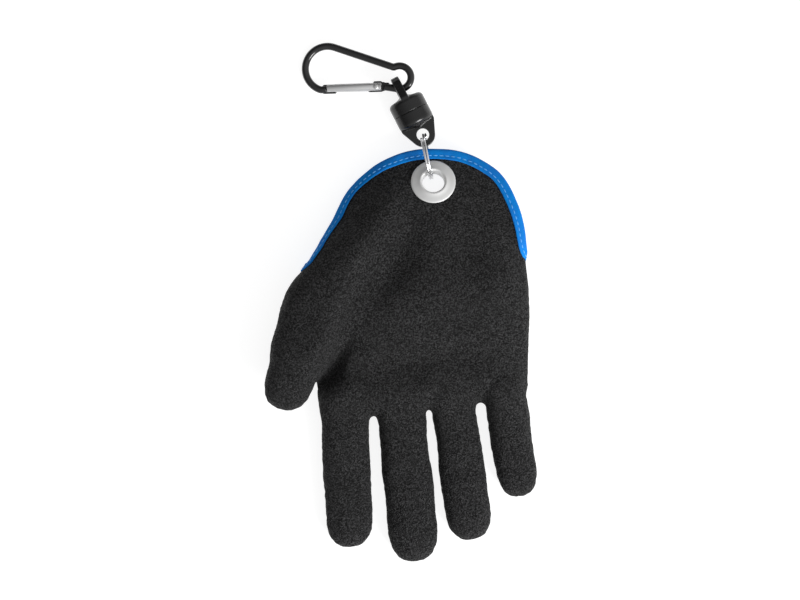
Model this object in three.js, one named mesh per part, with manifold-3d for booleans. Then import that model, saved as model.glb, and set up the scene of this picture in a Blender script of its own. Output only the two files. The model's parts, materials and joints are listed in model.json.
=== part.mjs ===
// Fishing glove for the right hand, lying palm up with the fingers pointing to -Y.
// Millimetres, +Z up. While the pieces are made, y = 0 is the back edge of the mouth, x = 0 is
// the middle of the palm and z = 0 is the surface. The finished group is then centred.
import * as THREE from "three";
import { mergeVertices } from "three/addons/utils/BufferGeometryUtils.js";
import Module from "manifold-3d";

const wasm = await Module();
wasm.setup();

// Sizes of the glove
const palmWidth = 114.4;
const palmLength = 82;
const palmDepth = 25;
const flapLength = 60.6;
const fingerDepth = 15.5;
const fingerRootReach = 26;
const thumbLength = 122;
const thumbWidth = 34;
const thumbDepth = 30;
const thumbLean = 21;
const wallThickness = 1.8;
const clearance = 0.3;

// Sizes of the edge binding
const tapeThickness = 0.9;
const tapeWidth = 5.1;

// Sizes of the eyelet and its washer
const eyeletRadius = 12.2;
const eyeletBoreRadius = 6.1;
const eyeletBarrelThickness = 0.8;
const eyeletFlangeHeight = 1.0;
const eyeletFlangeEdge = 0.35;
const eyeletFlangeTaper = 1.0;
const eyeletRollHeight = 0.7;
const eyeletRollWidth = 0.9;
const eyeletLipWidth = 1.5;
const eyeletLipHeight = 1.2;
const washerRadius = 11.6;
const washerThickness = 0.9;

// Sizes of the split ring, and the free play where it passes the eyelet's bore and the clip's hole
const splitRingRadius = 12.1;
const splitRingWireDepth = 1.5;
const splitRingWireWidth = 1.2;
const splitRingEyeletPlay = 2.8;
const splitRingClipPlay = 0.6;
const splitRingLean = 12.2;

// Sizes of the magnetic release clip
const clipRadius = 10;
const clipHalfLength = 20.8;
const clipBarrelLength = 5.5;
const clipShoulderRadius = 2.6;
const clipCrownHeight = 2.2;
const clipRimBevel = 0.5;
const clipLean = 27;
const clipTabThickness = 4.5;
const clipTabWidth = 19.4;
const clipTabShoulder = 8.5;
const clipTabBevel = 0.4;
const clipHoleRadius = 3.5;
const clipHoleReach = 14.1;
const magnetRadius = 6;
const magnetThickness = 3;

// Sizes of the carabiner
const rodRadius = 2;
const carabinerWideRadius = 12;
const carabinerSmallRadius = 6.4;
const carabinerCentreSpan = 40.1;
const carabinerCentreDrop = 5.1;
const carabinerSpineLean = 19.4;
const gateLength = 30.4;
const gateRadius = 2.1;
const gateRivetInset = 3;
const gateDrop = 10;
const gateNoseDrop = 0.9;
const gatePivotReach = 12.7;
const gateNoseSlot = 4.3;
const lugThickness = 1.5;
const lugRadius = 2.6;
const hingeLugRoot = 3;
const noseLugLength = 5.5;
const noseLugRoot = 0.9;
const kinkReach = 2.6;
const rodHang = 0.3;
const pinRadius = 0.8;
const pinHeadRadius = 1.25;
const pinHeadHeight = 0.35;

// Places on the glove, as shares of the sizes they follow
const eyeletSide = 0.043 * palmWidth;
const eyeletUp = 0.713 * flapLength;

const ringSides = { palm: 30, finger: 14, thumb: 18 };

// Sections across the flap, from its free end down to the mouth.
// up: share of flapLength; left, right: share of palmWidth; crown: share of palmDepth
const flapSections = [
  { up: 1.16, left: -0.43, right: 0.465, crown: 0.37 },
  { up: 1.0, left: -0.44, right: 0.478, crown: 0.42 },
  { up: 0.76, left: -0.455, right: 0.5, crown: 0.58 },
  { up: 0.47, left: -0.49, right: 0.518, crown: 0.81 },
  { up: 0.2, left: -0.53, right: 0.51, crown: 0.955 },
];

// Sections across the palm, from the mouth down to the finger roots.
// down, skew: share of palmLength; left, right: share of palmWidth; crown: share of palmDepth;
// lift: share of what the folded binding takes under the glove
const palmSections = [
  { down: 0.0, skew: 0.0, left: -0.555, right: 0.497, crown: 1.0, lift: 1 },
  { down: 0.1, skew: 0.0, left: -0.578, right: 0.5, crown: 1.0, lift: 1 },
  { down: 0.22, skew: 0.0, left: -0.585, right: 0.503, crown: 0.99, lift: 0 },
  { down: 0.4, skew: 0.0, left: -0.57, right: 0.504, crown: 0.93, lift: 0 },
  { down: 0.6, skew: 0.01, left: -0.535, right: 0.5, crown: 0.85, lift: 0 },
  { down: 0.8, skew: 0.03, left: -0.508, right: 0.498, crown: 0.76, lift: 0 },
  { down: 0.95, skew: 0.08, left: -0.499, right: 0.5, crown: 0.66, lift: 0 },
  { down: 1.02, skew: 0.1, left: -0.49, right: 0.492, crown: 0.56, lift: 0 },
  { down: 1.05, skew: 0.1, left: -0.475, right: 0.478, crown: 0.42, lift: 0 },
];

// Outline of the flap seen from above, up the left side and down the right one.
// side: share of palmWidth; up: share of flapLength; band: share of tapeWidth inside it
const flapOutline = [
  { side: -0.62, up: -0.02, band: 0 },
  { side: -0.55, up: 0.1, band: 0.2 },
  { side: -0.492, up: 0.22, band: 0.9 },
  { side: -0.43, up: 0.38, band: 1 },
  { side: -0.356, up: 0.655, band: 1 },
  { side: -0.221, up: 0.86, band: 1 },
  { side: -0.08, up: 0.973, band: 1 },
  { side: 0.04, up: 1.0, band: 1 },
  { side: 0.18, up: 0.975, band: 1 },
  { side: 0.298, up: 0.877, band: 1 },
  { side: 0.377, up: 0.744, band: 1 },
  { side: 0.442, up: 0.517, band: 1 },
  { side: 0.474, up: 0.318, band: 0.9 },
  { side: 0.5, up: 0.16, band: 0.2 },
  { side: 0.58, up: -0.02, band: 0 },
];

// Side view of the mouth: what lies below this line is open.
// up: share of flapLength; rise: share of palmDepth; band: share of tapeWidth kept above it
const mouthProfile = [
  { up: 0.0, rise: 0.07, band: 1.0 },
  { up: 0.03, rise: 0.16, band: 1.0 },
  { up: 0.08, rise: 0.3, band: 1.0 },
  { up: 0.14, rise: 0.43, band: 1.0 },
  { up: 0.26, rise: 0.46, band: 0.8 },
  { up: 0.38, rise: 0.44, band: 0.4 },
  { up: 0.5, rise: 0.39, band: 0.2 },
  { up: 0.7, rise: 0.31, band: 0.1 },
  { up: 1.0, rise: 0.26, band: 0.05 },
  { up: 1.4, rise: 0.25, band: 0.05 },
];

// Fingers, from the thumb's side. side: share of palmWidth at the root; length, root and width in
// millimetres, root being the width at the palm; lean in degrees to the little finger's side
const fingers = {
  index: { side: -0.373, length: 74.3, root: 26.2, width: 26.3, lean: 1.4 },
  middle: { side: -0.111, length: 82.3, root: 25.2, width: 27.7, lean: 4.6 },
  ring: { side: 0.147, length: 71, root: 23.2, width: 25.4, lean: 6.6 },
  little: { side: 0.395, length: 47.1, root: 24.2, width: 21.8, lean: 7.4 },
};
const fingerWidens = 0.6;

// Sections of a finger. reach: share of fingerRootReach above the root; along: share of the
// length below it; wide: share of the width; crown, floor: share of fingerDepth
const fingerSections = [
  { reach: 1.0, along: 0, wide: 0.78, crown: 0.85, floor: 0.1 },
  { reach: 0.62, along: 0, wide: 0.9, crown: 1.2, floor: 0.02 },
  { reach: 0.28, along: 0, wide: 0.98, crown: 1.24, floor: 0 },
  { reach: 0, along: 0.0, wide: 1.0, crown: 1.1, floor: 0 },
  { reach: 0, along: 0.2, wide: 1.0, crown: 1.0, floor: 0 },
  { reach: 0, along: 0.5, wide: 1.0, crown: 1.0, floor: 0 },
];
const fingerTip = { share: 0.74, power: 2.5, crown: 0.93 };

// Sections of the thumb and the ball below it, from the wrist to the tip.
// along: share of thumbLength; shift, wide: share of thumbWidth; crown, floor: of thumbDepth
const thumbSections = [
  { along: 0.0, shift: 0.2, wide: 0.6, crown: 0.5, floor: 0.25 },
  { along: 0.17, shift: 0.14, wide: 0.93, crown: 0.84, floor: 0.16 },
  { along: 0.344, shift: 0.024, wide: 1.03, crown: 0.95, floor: 0.1 },
  { along: 0.506, shift: -0.073, wide: 1.09, crown: 1.0, floor: 0.1 },
  { along: 0.652, shift: -0.063, wide: 1.06, crown: 0.98, floor: 0.15 },
  { along: 0.77, shift: -0.06, wide: 0.97, crown: 0.94, floor: 0.2 },
];
const thumbTip = { shift: -0.05, wide: 0.86, share: 0.6, power: 2.5, crown: 0.9, floor: 0.25 };
const thumbTipPlace = { side: -0.668, down: 0.986 };

const latexMaterial = finish(0x232324, 0.72, 0);
const bindingMaterial = finish(0x1478d7, 0.8, 0);
const steelMaterial = finish(0xb9bbbd, 0.25, 1);
const plasticMaterial = finish(0x1a1a1b, 0.4, 0);
const blackAluminium = finish(0x17181a, 0.35, 0.6);

const radians = THREE.MathUtils.degToRad;

/** A material from its colour, roughness and metalness. */
function finish(color, roughness, metalness) {
  return new THREE.MeshStandardMaterial({ color, roughness, metalness });
}

/** A closed, merged copy of a geometry as a solid that can be joined and cut. */
function solidOf(geometry) {
  const bare = geometry.clone();
  bare.deleteAttribute("normal");
  bare.deleteAttribute("uv");
  const merged = mergeVertices(bare, 1e-4);
  return new wasm.Manifold(new wasm.Mesh({
    numProp: 3,
    vertProperties: Float32Array.from(merged.attributes.position.array),
    triVerts: Uint32Array.from(merged.index.array),
  }));
}

/** A named mesh of a solid. */
function meshOf(name, solid, material) {
  const { vertProperties, triVerts } = solid.getMesh();
  const geometry = new THREE.BufferGeometry();
  geometry.setAttribute("position", new THREE.BufferAttribute(Float32Array.from(vertProperties), 3));
  geometry.setIndex(new THREE.BufferAttribute(Uint32Array.from(triVerts), 1));
  geometry.computeVertexNormals();
  const mesh = new THREE.Mesh(geometry, material);
  mesh.name = name;
  return mesh;
}

/** A solid placed by a matrix. */
function placed(geometry, matrix) {
  const copy = geometry.clone();
  copy.applyMatrix4(matrix);
  return solidOf(copy);
}

/** A closed skin through rings of equally many points, with a fan over each end. */
function loft(rings) {
  const sides = rings[0].length;
  const points = rings.flat();
  const middle = (ring) => ring
    .reduce((sum, point) => sum.add(point), new THREE.Vector3())
    .divideScalar(sides);
  const first = points.push(middle(rings[0])) - 1;
  const last = points.push(middle(rings[rings.length - 1])) - 1;
  const faces = [];
  for (let side = 0; side < sides; side += 1) {
    const next = (side + 1) % sides;
    for (let row = 0; row + 1 < rings.length; row += 1) {
      const a = row * sides + side;
      const b = row * sides + next;
      faces.push(a, b, b + sides, a, b + sides, a + sides);
    }
    const end = (rings.length - 1) * sides;
    faces.push(first, next, side, last, end + side, end + next);
  }
  const geometry = new THREE.BufferGeometry();
  const coordinates = points.flatMap((point) => point.toArray());
  geometry.setAttribute("position", new THREE.Float32BufferAttribute(coordinates, 3));
  geometry.setIndex(faces);
  return solidOf(geometry);
}

/** A soft upright section between two points in plan: round above and flattened below. */
function softRing(left, right, floor, crown, sides) {
  const roundness = 2.4;
  const middleShare = 0.42;
  const sagShare = 1.3;
  const middleHeight = floor + middleShare * (crown - floor);
  const ring = [];
  for (let step = 0; step < sides; step += 1) {
    const angle = (2 * Math.PI * step) / sides;
    const bulge = (value) => Math.sign(value) * Math.abs(value) ** (2 / roundness);
    const across = 0.5 + 0.5 * bulge(Math.cos(angle));
    const rise = bulge(Math.sin(angle));
    const height = rise > 0
      ? middleHeight + rise * (crown - middleHeight)
      : Math.max(floor, middleHeight + rise * sagShare * (middleHeight - floor));
    ring.push(new THREE.Vector3(
      THREE.MathUtils.lerp(left.x, right.x, across),
      THREE.MathUtils.lerp(left.y, right.y, across),
      height,
    ));
  }
  return ring;
}

/** Palm and flap as one soft tube, grown on every side by grow. */
function palmVolume(grow) {
  const lift = tapeThickness + clearance;
  const rows = [
    ...flapSections.map((row) => ({ ...row, y: row.up * flapLength, skew: 0, lift: 1 })),
    ...palmSections.map((row) => ({ ...row, y: -row.down * palmLength })),
  ];
  const rings = rows.map((row, index) => {
    const endShift = index === rows.length - 1 ? -grow : 0;
    const y = row.y + endShift;
    return softRing(
      new THREE.Vector2(row.left * palmWidth - grow, y),
      new THREE.Vector2(row.right * palmWidth + grow, y + row.skew * palmLength),
      row.lift * lift - grow,
      row.crown * palmDepth + grow,
      ringSides.palm,
    );
  });
  return loft(rings);
}

/** One ring of a finger or thumb, across its axis at a distance from its start. */
function limbRing({ start, lean, distance, shift, halfWidth, floor, crown, sides }) {
  const along = new THREE.Vector2(Math.sin(lean), -Math.cos(lean));
  const across = new THREE.Vector2(-along.y, along.x);
  const centre = start.clone().addScaledVector(along, distance).addScaledVector(across, shift);
  return softRing(
    centre.clone().addScaledVector(across, -halfWidth),
    centre.clone().addScaledVector(across, halfWidth),
    floor,
    crown,
    sides,
  );
}

/** Rings of a rounded tip that closes on itself. */
function tipRings(limb, base, tipLength, power) {
  const tipSteps = [0, 0.4, 0.68, 0.88, 0.98];
  const middleHeight = (base.floor + base.crown) / 2;
  return tipSteps.map((step) => {
    const size = (1 - step ** power) ** (1 / power);
    return limbRing({
      ...limb,
      ...base,
      distance: base.distance + step * tipLength,
      halfWidth: base.halfWidth * size,
      floor: middleHeight + (base.floor - middleHeight) * size,
      crown: middleHeight + (base.crown - middleHeight) * size,
    });
  });
}

/** One finger from inside the palm to its tip, grown by grow. */
function fingerVolume(finger, grow) {
  const lean = radians(finger.lean);
  const limb = {
    start: new THREE.Vector2(finger.side * palmWidth, -palmLength),
    lean,
    shift: 0,
    sides: ringSides.finger,
  };
  const widthAt = (along) => THREE.MathUtils.lerp(
    finger.root,
    finger.width,
    THREE.MathUtils.smoothstep(along, 0, fingerWidens),
  );
  const rings = fingerSections.map((row) => limbRing({
    ...limb,
    distance: row.along * finger.length - row.reach * fingerRootReach,
    halfWidth: (row.wide * widthAt(row.along)) / 2 + grow,
    floor: row.floor * fingerDepth - grow,
    crown: row.crown * fingerDepth + grow,
  }));
  const tipLength = fingerTip.share * finger.width;
  const base = {
    distance: finger.length - tipLength,
    halfWidth: finger.width / 2 + grow,
    floor: -grow,
    crown: fingerTip.crown * fingerDepth + grow,
  };
  return loft([...rings, ...tipRings(limb, base, tipLength + grow, fingerTip.power)]);
}

/** The thumb and the ball of the thumb, grown by grow. */
function thumbVolume(grow) {
  const lean = radians(-thumbLean);
  const tip = new THREE.Vector2(thumbTipPlace.side * palmWidth, -thumbTipPlace.down * palmLength);
  const back = new THREE.Vector2(-Math.sin(lean), Math.cos(lean));
  const limb = {
    start: tip.clone().addScaledVector(back, thumbLength),
    lean,
    sides: ringSides.thumb,
  };
  const rings = thumbSections.map((row) => limbRing({
    ...limb,
    distance: row.along * thumbLength,
    shift: row.shift * thumbWidth,
    halfWidth: (row.wide * thumbWidth) / 2 + grow,
    floor: row.floor * thumbDepth - grow,
    crown: row.crown * thumbDepth + grow,
  }));
  const tipLength = thumbTip.share * thumbTip.wide * thumbWidth;
  const base = {
    distance: thumbLength - tipLength,
    shift: thumbTip.shift * thumbWidth,
    halfWidth: (thumbTip.wide * thumbWidth) / 2 + grow,
    floor: thumbTip.floor * thumbDepth - grow,
    crown: thumbTip.crown * thumbDepth + grow,
  };
  return loft([...rings, ...tipRings(limb, base, tipLength + grow, thumbTip.power)]);
}

/** The whole hand form, grown on every side by grow. */
function handVolume(grow) {
  return Object.values(fingers)
    .map((finger) => fingerVolume(finger, grow))
    .reduce((hand, finger) => hand.add(finger), palmVolume(grow).add(thumbVolume(grow)));
}

/** What stays when the flap's outline and the mouth are cut, its edge moved outwards by grow. */
function trimVolume(grow) {
  const outlineSteps = 34;
  const mouthForward = 0.5;
  const curve = new THREE.CatmullRomCurve3(flapOutline.map(
    (point) => new THREE.Vector3(point.side * palmWidth, point.up * flapLength, point.band),
  ));
  const edge = [];
  for (let step = 0; step <= outlineSteps; step += 1) {
    const point = curve.getPoint(step / outlineSteps);
    const tangent = curve.getTangent(step / outlineSteps).setZ(0).normalize();
    const shift = grow < 0 ? grow * point.z : grow;
    edge.push(new THREE.Vector2(point.x - tangent.y * shift, point.y + tangent.x * shift));
  }
  const farSide = 2 * palmWidth;
  const farDown = 4 * palmLength;
  const height = 4 * palmDepth;
  const plan = new THREE.Shape([
    new THREE.Vector2(-farSide, edge[0].y),
    ...edge,
    new THREE.Vector2(farSide, edge[edge.length - 1].y),
    new THREE.Vector2(farSide, -farDown),
    new THREE.Vector2(-farSide, -farDown),
  ]);
  const planSolid = placed(
    new THREE.ExtrudeGeometry(plan, { depth: 2 * height, bevelEnabled: false }),
    new THREE.Matrix4().makeTranslation(0, 0, -height),
  );
  const line = mouthProfile.map((row) => {
    const band = grow < 0 ? row.band : 1;
    const forward = row === mouthProfile[0] ? grow : grow * mouthForward * band;
    return new THREE.Vector2(row.up * flapLength + forward, row.rise * palmDepth - grow * band);
  });
  const side = new THREE.Shape([
    new THREE.Vector2(line[0].x, -height),
    ...line,
    new THREE.Vector2(line[line.length - 1].x, -height),
  ]);
  const sideways = new THREE.Matrix4().makeBasis(
    new THREE.Vector3(0, 1, 0),
    new THREE.Vector3(0, 0, 1),
    new THREE.Vector3(1, 0, 0),
  ).setPosition(-farSide, 0, 0);
  const mouth = new THREE.ExtrudeGeometry(side, { depth: 2 * farSide, bevelEnabled: false });
  return planSolid.subtract(placed(mouth, sideways));
}

/** Height of the flap's ridge at a distance up from the mouth. */
function flapCrownAt(y) {
  const rows = [...flapSections].reverse();
  const upper = rows.findIndex((row) => row.up * flapLength >= y);
  const high = rows[upper];
  const low = rows[upper - 1];
  const share = (y / flapLength - low.up) / (high.up - low.up);
  return THREE.MathUtils.lerp(low.crown, high.crown, share) * palmDepth;
}

/** Frame of the eyelet: its origin on the flap's outer face and its Z along the face's normal. */
function eyeletFrame() {
  const slope = (flapCrownAt(eyeletUp + eyeletRadius) - flapCrownAt(eyeletUp - eyeletRadius))
    / (2 * eyeletRadius);
  const crown = (flapCrownAt(eyeletUp + eyeletRadius) + flapCrownAt(eyeletUp - eyeletRadius)
    + flapCrownAt(eyeletUp)) / 3;
  return new THREE.Matrix4()
    .makeRotationX(Math.atan(slope))
    .setPosition(eyeletSide, eyeletUp, crown);
}

/** The hollow glove: palm, back, fingers, thumb and flap. */
function gloveShell() {
  const barrelHole = new THREE.CylinderGeometry(
    eyeletBoreRadius + eyeletBarrelThickness + clearance,
    eyeletBoreRadius + eyeletBarrelThickness + clearance,
    6 * wallThickness,
    24,
  ).rotateX(Math.PI / 2);
  const shell = handVolume(0)
    .subtract(handVolume(-wallThickness))
    .intersect(trimVolume(0))
    .subtract(placed(barrelHole, eyeletFrame()));
  return meshOf("glove_shell", shell, latexMaterial);
}

/** The folded tape round the flap and the mouth: outside, over the edge and inside. */
function edgeBinding() {
  const build = clearance + tapeThickness;
  const outside = handVolume(build)
    .subtract(handVolume(-wallThickness - build))
    .intersect(trimVolume(build));
  const inside = handVolume(clearance)
    .subtract(handVolume(-wallThickness - clearance))
    .intersect(trimVolume(clearance));
  const binding = outside.subtract(inside).subtract(trimVolume(-tapeWidth));
  return meshOf("edge_binding", binding, bindingMaterial);
}

/** Metal eyelet: flange with a rolled throat, barrel, and the lip rolled over the washer. */
function eyelet() {
  const bore = eyeletBoreRadius;
  const barrel = bore + eyeletBarrelThickness;
  const under = clearance;
  const top = under + eyeletFlangeHeight;
  const lip = -(wallThickness + washerThickness + 3 * clearance);
  const lipSide = barrel + eyeletLipWidth;
  const profile = [
    [bore, top],
    [bore, lip - eyeletLipHeight / 2],
    [barrel, lip - eyeletLipHeight],
    [lipSide, lip - (3 * eyeletLipHeight) / 4],
    [lipSide, lip],
    [barrel, lip],
    [barrel, under],
    [eyeletRadius, under],
    [eyeletRadius, under + eyeletFlangeEdge],
    [eyeletRadius - eyeletFlangeTaper, top],
    [barrel + eyeletRollWidth, top],
    [barrel, top + eyeletRollHeight],
    [bore + eyeletBarrelThickness / 4, top + eyeletRollHeight / 2],
    [bore, top],
  ].map(([radius, height]) => new THREE.Vector2(radius, height));
  const spun = new THREE.LatheGeometry(profile, 22).rotateX(Math.PI / 2);
  return meshOf("eyelet", placed(spun, eyeletFrame()), steelMaterial);
}

/** Plain ring behind the flap that the eyelet's lip is rolled over. */
function eyeletWasher() {
  const hole = eyeletBoreRadius + eyeletBarrelThickness + clearance;
  const top = -(wallThickness + 2 * clearance);
  const profile = [
    [hole, top],
    [hole, top - washerThickness],
    [washerRadius, top - washerThickness],
    [washerRadius, top],
    [hole, top],
  ].map(([radius, height]) => new THREE.Vector2(radius, height));
  const spun = new THREE.LatheGeometry(profile, 22).rotateX(Math.PI / 2);
  return meshOf("eyelet_washer", placed(spun, eyeletFrame()), steelMaterial);
}

/**
 * Where the split ring stands on the surface: it passes the eyelet's bore at one end and the lower
 * clip's hole, whose centre is given too, at the other.
 */
function splitRingPlace() {
  const eye = new THREE.Vector3().setFromMatrixPosition(eyeletFrame());
  const lean = radians(splitRingLean);
  const towards = new THREE.Vector3(-Math.sin(lean), Math.cos(lean), 0);
  const height = splitRingRadius + splitRingWireDepth / 2;
  const reachAt = (z) => Math.sqrt(splitRingRadius ** 2 - (z - height) ** 2);
  const inBore = eyeletBoreRadius - splitRingWireDepth / 2 - splitRingEyeletPlay;
  const centre = new THREE.Vector3(eye.x, eye.y, height)
    .addScaledVector(towards, inBore + reachAt(eye.z));
  const hole = centre.clone()
    .addScaledVector(towards, reachAt(clipRadius) + splitRingClipPlay)
    .setZ(clipRadius);
  return { centre, towards, hole };
}

/** Frame of the clip: Z along its axis towards the carabiner, Y up, its hole round the split ring. */
function clipFrame() {
  const lean = radians(clipLean);
  const along = new THREE.Vector3(-Math.sin(lean), Math.cos(lean), 0);
  const up = new THREE.Vector3(0, 0, 1);
  const across = new THREE.Vector3().crossVectors(up, along);
  const middle = splitRingPlace().hole.addScaledVector(along, clipHoleReach);
  return new THREE.Matrix4().makeBasis(across, up, along).setPosition(middle);
}

/** The barrel of one half with its round shoulder and low crown, from its mating face on Z = 0. */
function clipBarrel() {
  const mating = clearance / 2;
  const shoulderSteps = 3;
  const profile = [
    new THREE.Vector2(0, mating),
    new THREE.Vector2(clipRadius - clipRimBevel, mating),
    new THREE.Vector2(clipRadius, mating + clipRimBevel),
    new THREE.Vector2(clipRadius, clipBarrelLength),
  ];
  for (let step = 1; step <= shoulderSteps; step += 1) {
    const angle = (step / shoulderSteps) * (Math.PI / 2);
    profile.push(new THREE.Vector2(
      clipRadius - clipShoulderRadius * (1 - Math.cos(angle)),
      clipBarrelLength + clipShoulderRadius * Math.sin(angle),
    ));
  }
  profile.push(new THREE.Vector2(0, clipBarrelLength + clipShoulderRadius + clipCrownHeight));
  return new THREE.LatheGeometry(profile, 20).rotateX(Math.PI / 2);
}

/** The tab of one half, a plate whose straight flanks run in to a round tip about its hole. */
function clipTab() {
  const side = clipTabWidth / 2;
  const start = clipBarrelLength / 2;
  const tipRadius = clipHalfLength - clipHoleReach;
  const drop = clipHoleReach - clipTabShoulder;
  const flankAngle = Math.acos(tipRadius / Math.hypot(side, drop)) - Math.atan2(drop, side);
  const outline = new THREE.Shape();
  outline.moveTo(-side, start);
  outline.lineTo(side, start);
  outline.lineTo(side, clipTabShoulder);
  outline.absarc(0, clipHoleReach, tipRadius, flankAngle, Math.PI - flankAngle, false);
  outline.lineTo(-side, clipTabShoulder);
  const hole = new THREE.Path();
  hole.absarc(0, clipHoleReach, clipHoleRadius, 0, 2 * Math.PI, true);
  outline.holes.push(hole);
  const plate = clipTabThickness - 2 * clipTabBevel;
  return new THREE.ExtrudeGeometry(outline, {
    depth: plate,
    bevelThickness: clipTabBevel,
    bevelSize: clipTabBevel,
    bevelOffset: -clipTabBevel,
    bevelSegments: 1,
    curveSegments: 6,
  }).translate(0, 0, -plate / 2).rotateX(Math.PI / 2);
}

/** One half of the release: a barrel with a holed tab and a pocket for its magnet. */
function clipHalf(name, matrix) {
  const drill = new THREE.CylinderGeometry(clipHoleRadius, clipHoleRadius, 3 * clipRadius, 16)
    .translate(0, 0, clipHoleReach);
  const pocket = new THREE.CylinderGeometry(
    magnetRadius + clearance,
    magnetRadius + clearance,
    2 * (magnetThickness + 2 * clearance),
    18,
  ).rotateX(Math.PI / 2);
  const half = solidOf(clipBarrel())
    .add(solidOf(clipTab()))
    .subtract(solidOf(drill))
    .subtract(solidOf(pocket));
  return meshOf(name, transformed(half, matrix), plasticMaterial);
}

/** A solid moved by a matrix. */
function transformed(solid, matrix) {
  return solid.transform(matrix.elements);
}

/** A magnet disc in the face of one half. */
function magnet(name, matrix) {
  const disc = new THREE.CylinderGeometry(magnetRadius, magnetRadius, magnetThickness, 18)
    .rotateX(Math.PI / 2)
    .translate(0, 0, clearance + magnetThickness / 2);
  return meshOf(name, placed(disc, matrix), steelMaterial);
}

/** Frames of the two halves: the lower one points back to the flap, the upper one is turned. */
function clipFrames() {
  const middle = clipFrame();
  const lower = middle.clone().multiply(new THREE.Matrix4().makeRotationY(Math.PI));
  const upper = middle.clone().multiply(new THREE.Matrix4().makeRotationZ(Math.PI / 2));
  return { lower, upper };
}

/** Centre of a half's hole on the finished part. */
function holeCentre(frame) {
  return new THREE.Vector3(0, 0, clipHoleReach).applyMatrix4(frame);
}

/** Two turns of flat wire through the eyelet and the lower tab, standing on the surface. */
function splitRing() {
  const { centre, towards } = splitRingPlace();
  const axis = new THREE.Vector3().crossVectors(towards, new THREE.Vector3(0, 0, 1));
  const pitch = splitRingWireWidth + clearance / 2;
  const turns = 2;
  const turnSteps = 26;
  const startAngle = Math.PI / 5;

  class Coil extends THREE.Curve {
    getPoint(share, target = new THREE.Vector3()) {
      const angle = share * turns * 2 * Math.PI + startAngle;
      return target.copy(centre)
        .addScaledVector(towards, splitRingRadius * Math.cos(angle))
        .addScaledVector(new THREE.Vector3(0, 0, 1), splitRingRadius * Math.sin(angle))
        .addScaledVector(axis, pitch * turns * (share - 0.5));
    }
  }
  const rings = [];
  const coil = new Coil();
  const count = turns * turnSteps;
  for (let step = 0; step <= count; step += 1) {
    const point = coil.getPoint(step / count);
    const outward = point.clone().sub(centre);
    outward.addScaledVector(axis, -outward.dot(axis)).normalize();
    const halfDepth = splitRingWireDepth / 2;
    const halfWidth = splitRingWireWidth / 2;
    const corners = [[1, 0], [0.5, -1], [-0.5, -1], [-1, 0], [-0.5, 1], [0.5, 1]];
    rings.push(corners.map(([out, aside]) => point.clone()
      .addScaledVector(outward, out * halfDepth)
      .addScaledVector(axis, aside * halfWidth)));
  }
  return meshOf("split_ring", loft(rings), steelMaterial);
}

/** Frame of the carabiner: X, Y in its plane, its wide end on the surface, its small end in the eye. */
function carabinerFrame() {
  const eye = holeCentre(clipFrames().upper);
  const inEye = carabinerPlaces().eyePoint;
  const wideEnd = -carabinerWideRadius;
  const tilt = Math.asin((eye.z - rodRadius) / (inEye.x - wideEnd));
  const x = new THREE.Vector3(Math.cos(tilt), 0, Math.sin(tilt));
  const y = new THREE.Vector3(0, 1, 0);
  const z = new THREE.Vector3().crossVectors(x, y);
  const origin = eye.clone().addScaledVector(x, -inEye.x).addScaledVector(y, -inEye.y);
  return new THREE.Matrix4().makeBasis(x, y, z).setPosition(origin);
}

/** Places in the carabiner's plane, from the centre of its wide end. */
function carabinerPlaces() {
  const spine = radians(90 - carabinerSpineLean);
  const small = new THREE.Vector2(carabinerCentreSpan, -carabinerCentreDrop);
  const spineStart = new THREE.Vector2(Math.cos(spine), Math.sin(spine))
    .multiplyScalar(carabinerWideRadius);
  const pivot = new THREE.Vector2(carabinerCentreSpan - gatePivotReach, -gateDrop);
  const nose = new THREE.Vector2(pivot.x - (gateLength - gateRivetInset), -gateDrop - gateNoseDrop);
  const eyePoint = new THREE.Vector2(small.x, small.y - carabinerSmallRadius + rodHang);
  return { spine, small, spineStart, pivot, nose, eyePoint };
}

/** Points of an arc in the carabiner's plane, between two angles in degrees. */
function arcPoints(centre, radius, from, to, steps) {
  const points = [];
  for (let step = 0; step <= steps; step += 1) {
    const angle = radians(THREE.MathUtils.lerp(from, to, step / steps));
    points.push(new THREE.Vector3(
      centre.x + radius * Math.cos(angle),
      centre.y + radius * Math.sin(angle),
      0,
    ));
  }
  return points;
}

/** Centre line of the bent rod, from its nose round both ends to the hinge lug. */
function rodCurve() {
  const { small, spineStart, pivot, nose } = carabinerPlaces();
  const noseAngle = -106;
  const smallAngle = 108;
  const noseGap = clearance + 0.2;
  const noseDip = 0.4;
  const kinkRise = 0.1;
  const wideArc = arcPoints(
    new THREE.Vector2(),
    carabinerWideRadius,
    noseAngle,
    90 - carabinerSpineLean - 360,
    9,
  );
  const smallArc = arcPoints(small, carabinerSmallRadius, smallAngle, -smallAngle, 8);
  const kink = new THREE.Vector3(smallArc[0].x - kinkReach, smallArc[0].y - kinkRise, 0);
  const spineFoot = new THREE.Vector3(spineStart.x, spineStart.y, 0);
  const spinePoints = [0.35, 0.7, 1].map((share) => spineFoot.clone().lerp(kink, share));
  return new THREE.CatmullRomCurve3([
    new THREE.Vector3(nose.x - noseGap, nose.y - noseDip, 0),
    ...wideArc,
    ...spinePoints,
    ...smallArc,
    new THREE.Vector3(pivot.x + gateRivetInset + rodRadius * 0.7, pivot.y, 0),
  ], false, "centripetal");
}

/** Matrix that puts X along the gate, from its free end to its hinge, with the rivet at the origin. */
function gateFrame() {
  const { pivot, nose } = carabinerPlaces();
  const lean = Math.atan2(pivot.y - nose.y, pivot.x - nose.x);
  return new THREE.Matrix4().makeRotationZ(lean).setPosition(pivot.x, pivot.y, 0);
}

/** A drill for the rivet's hole. */
function rivetHole(length) {
  const radius = pinRadius + clearance;
  return new THREE.CylinderGeometry(radius, radius, length, 12).rotateX(Math.PI / 2);
}

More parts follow.
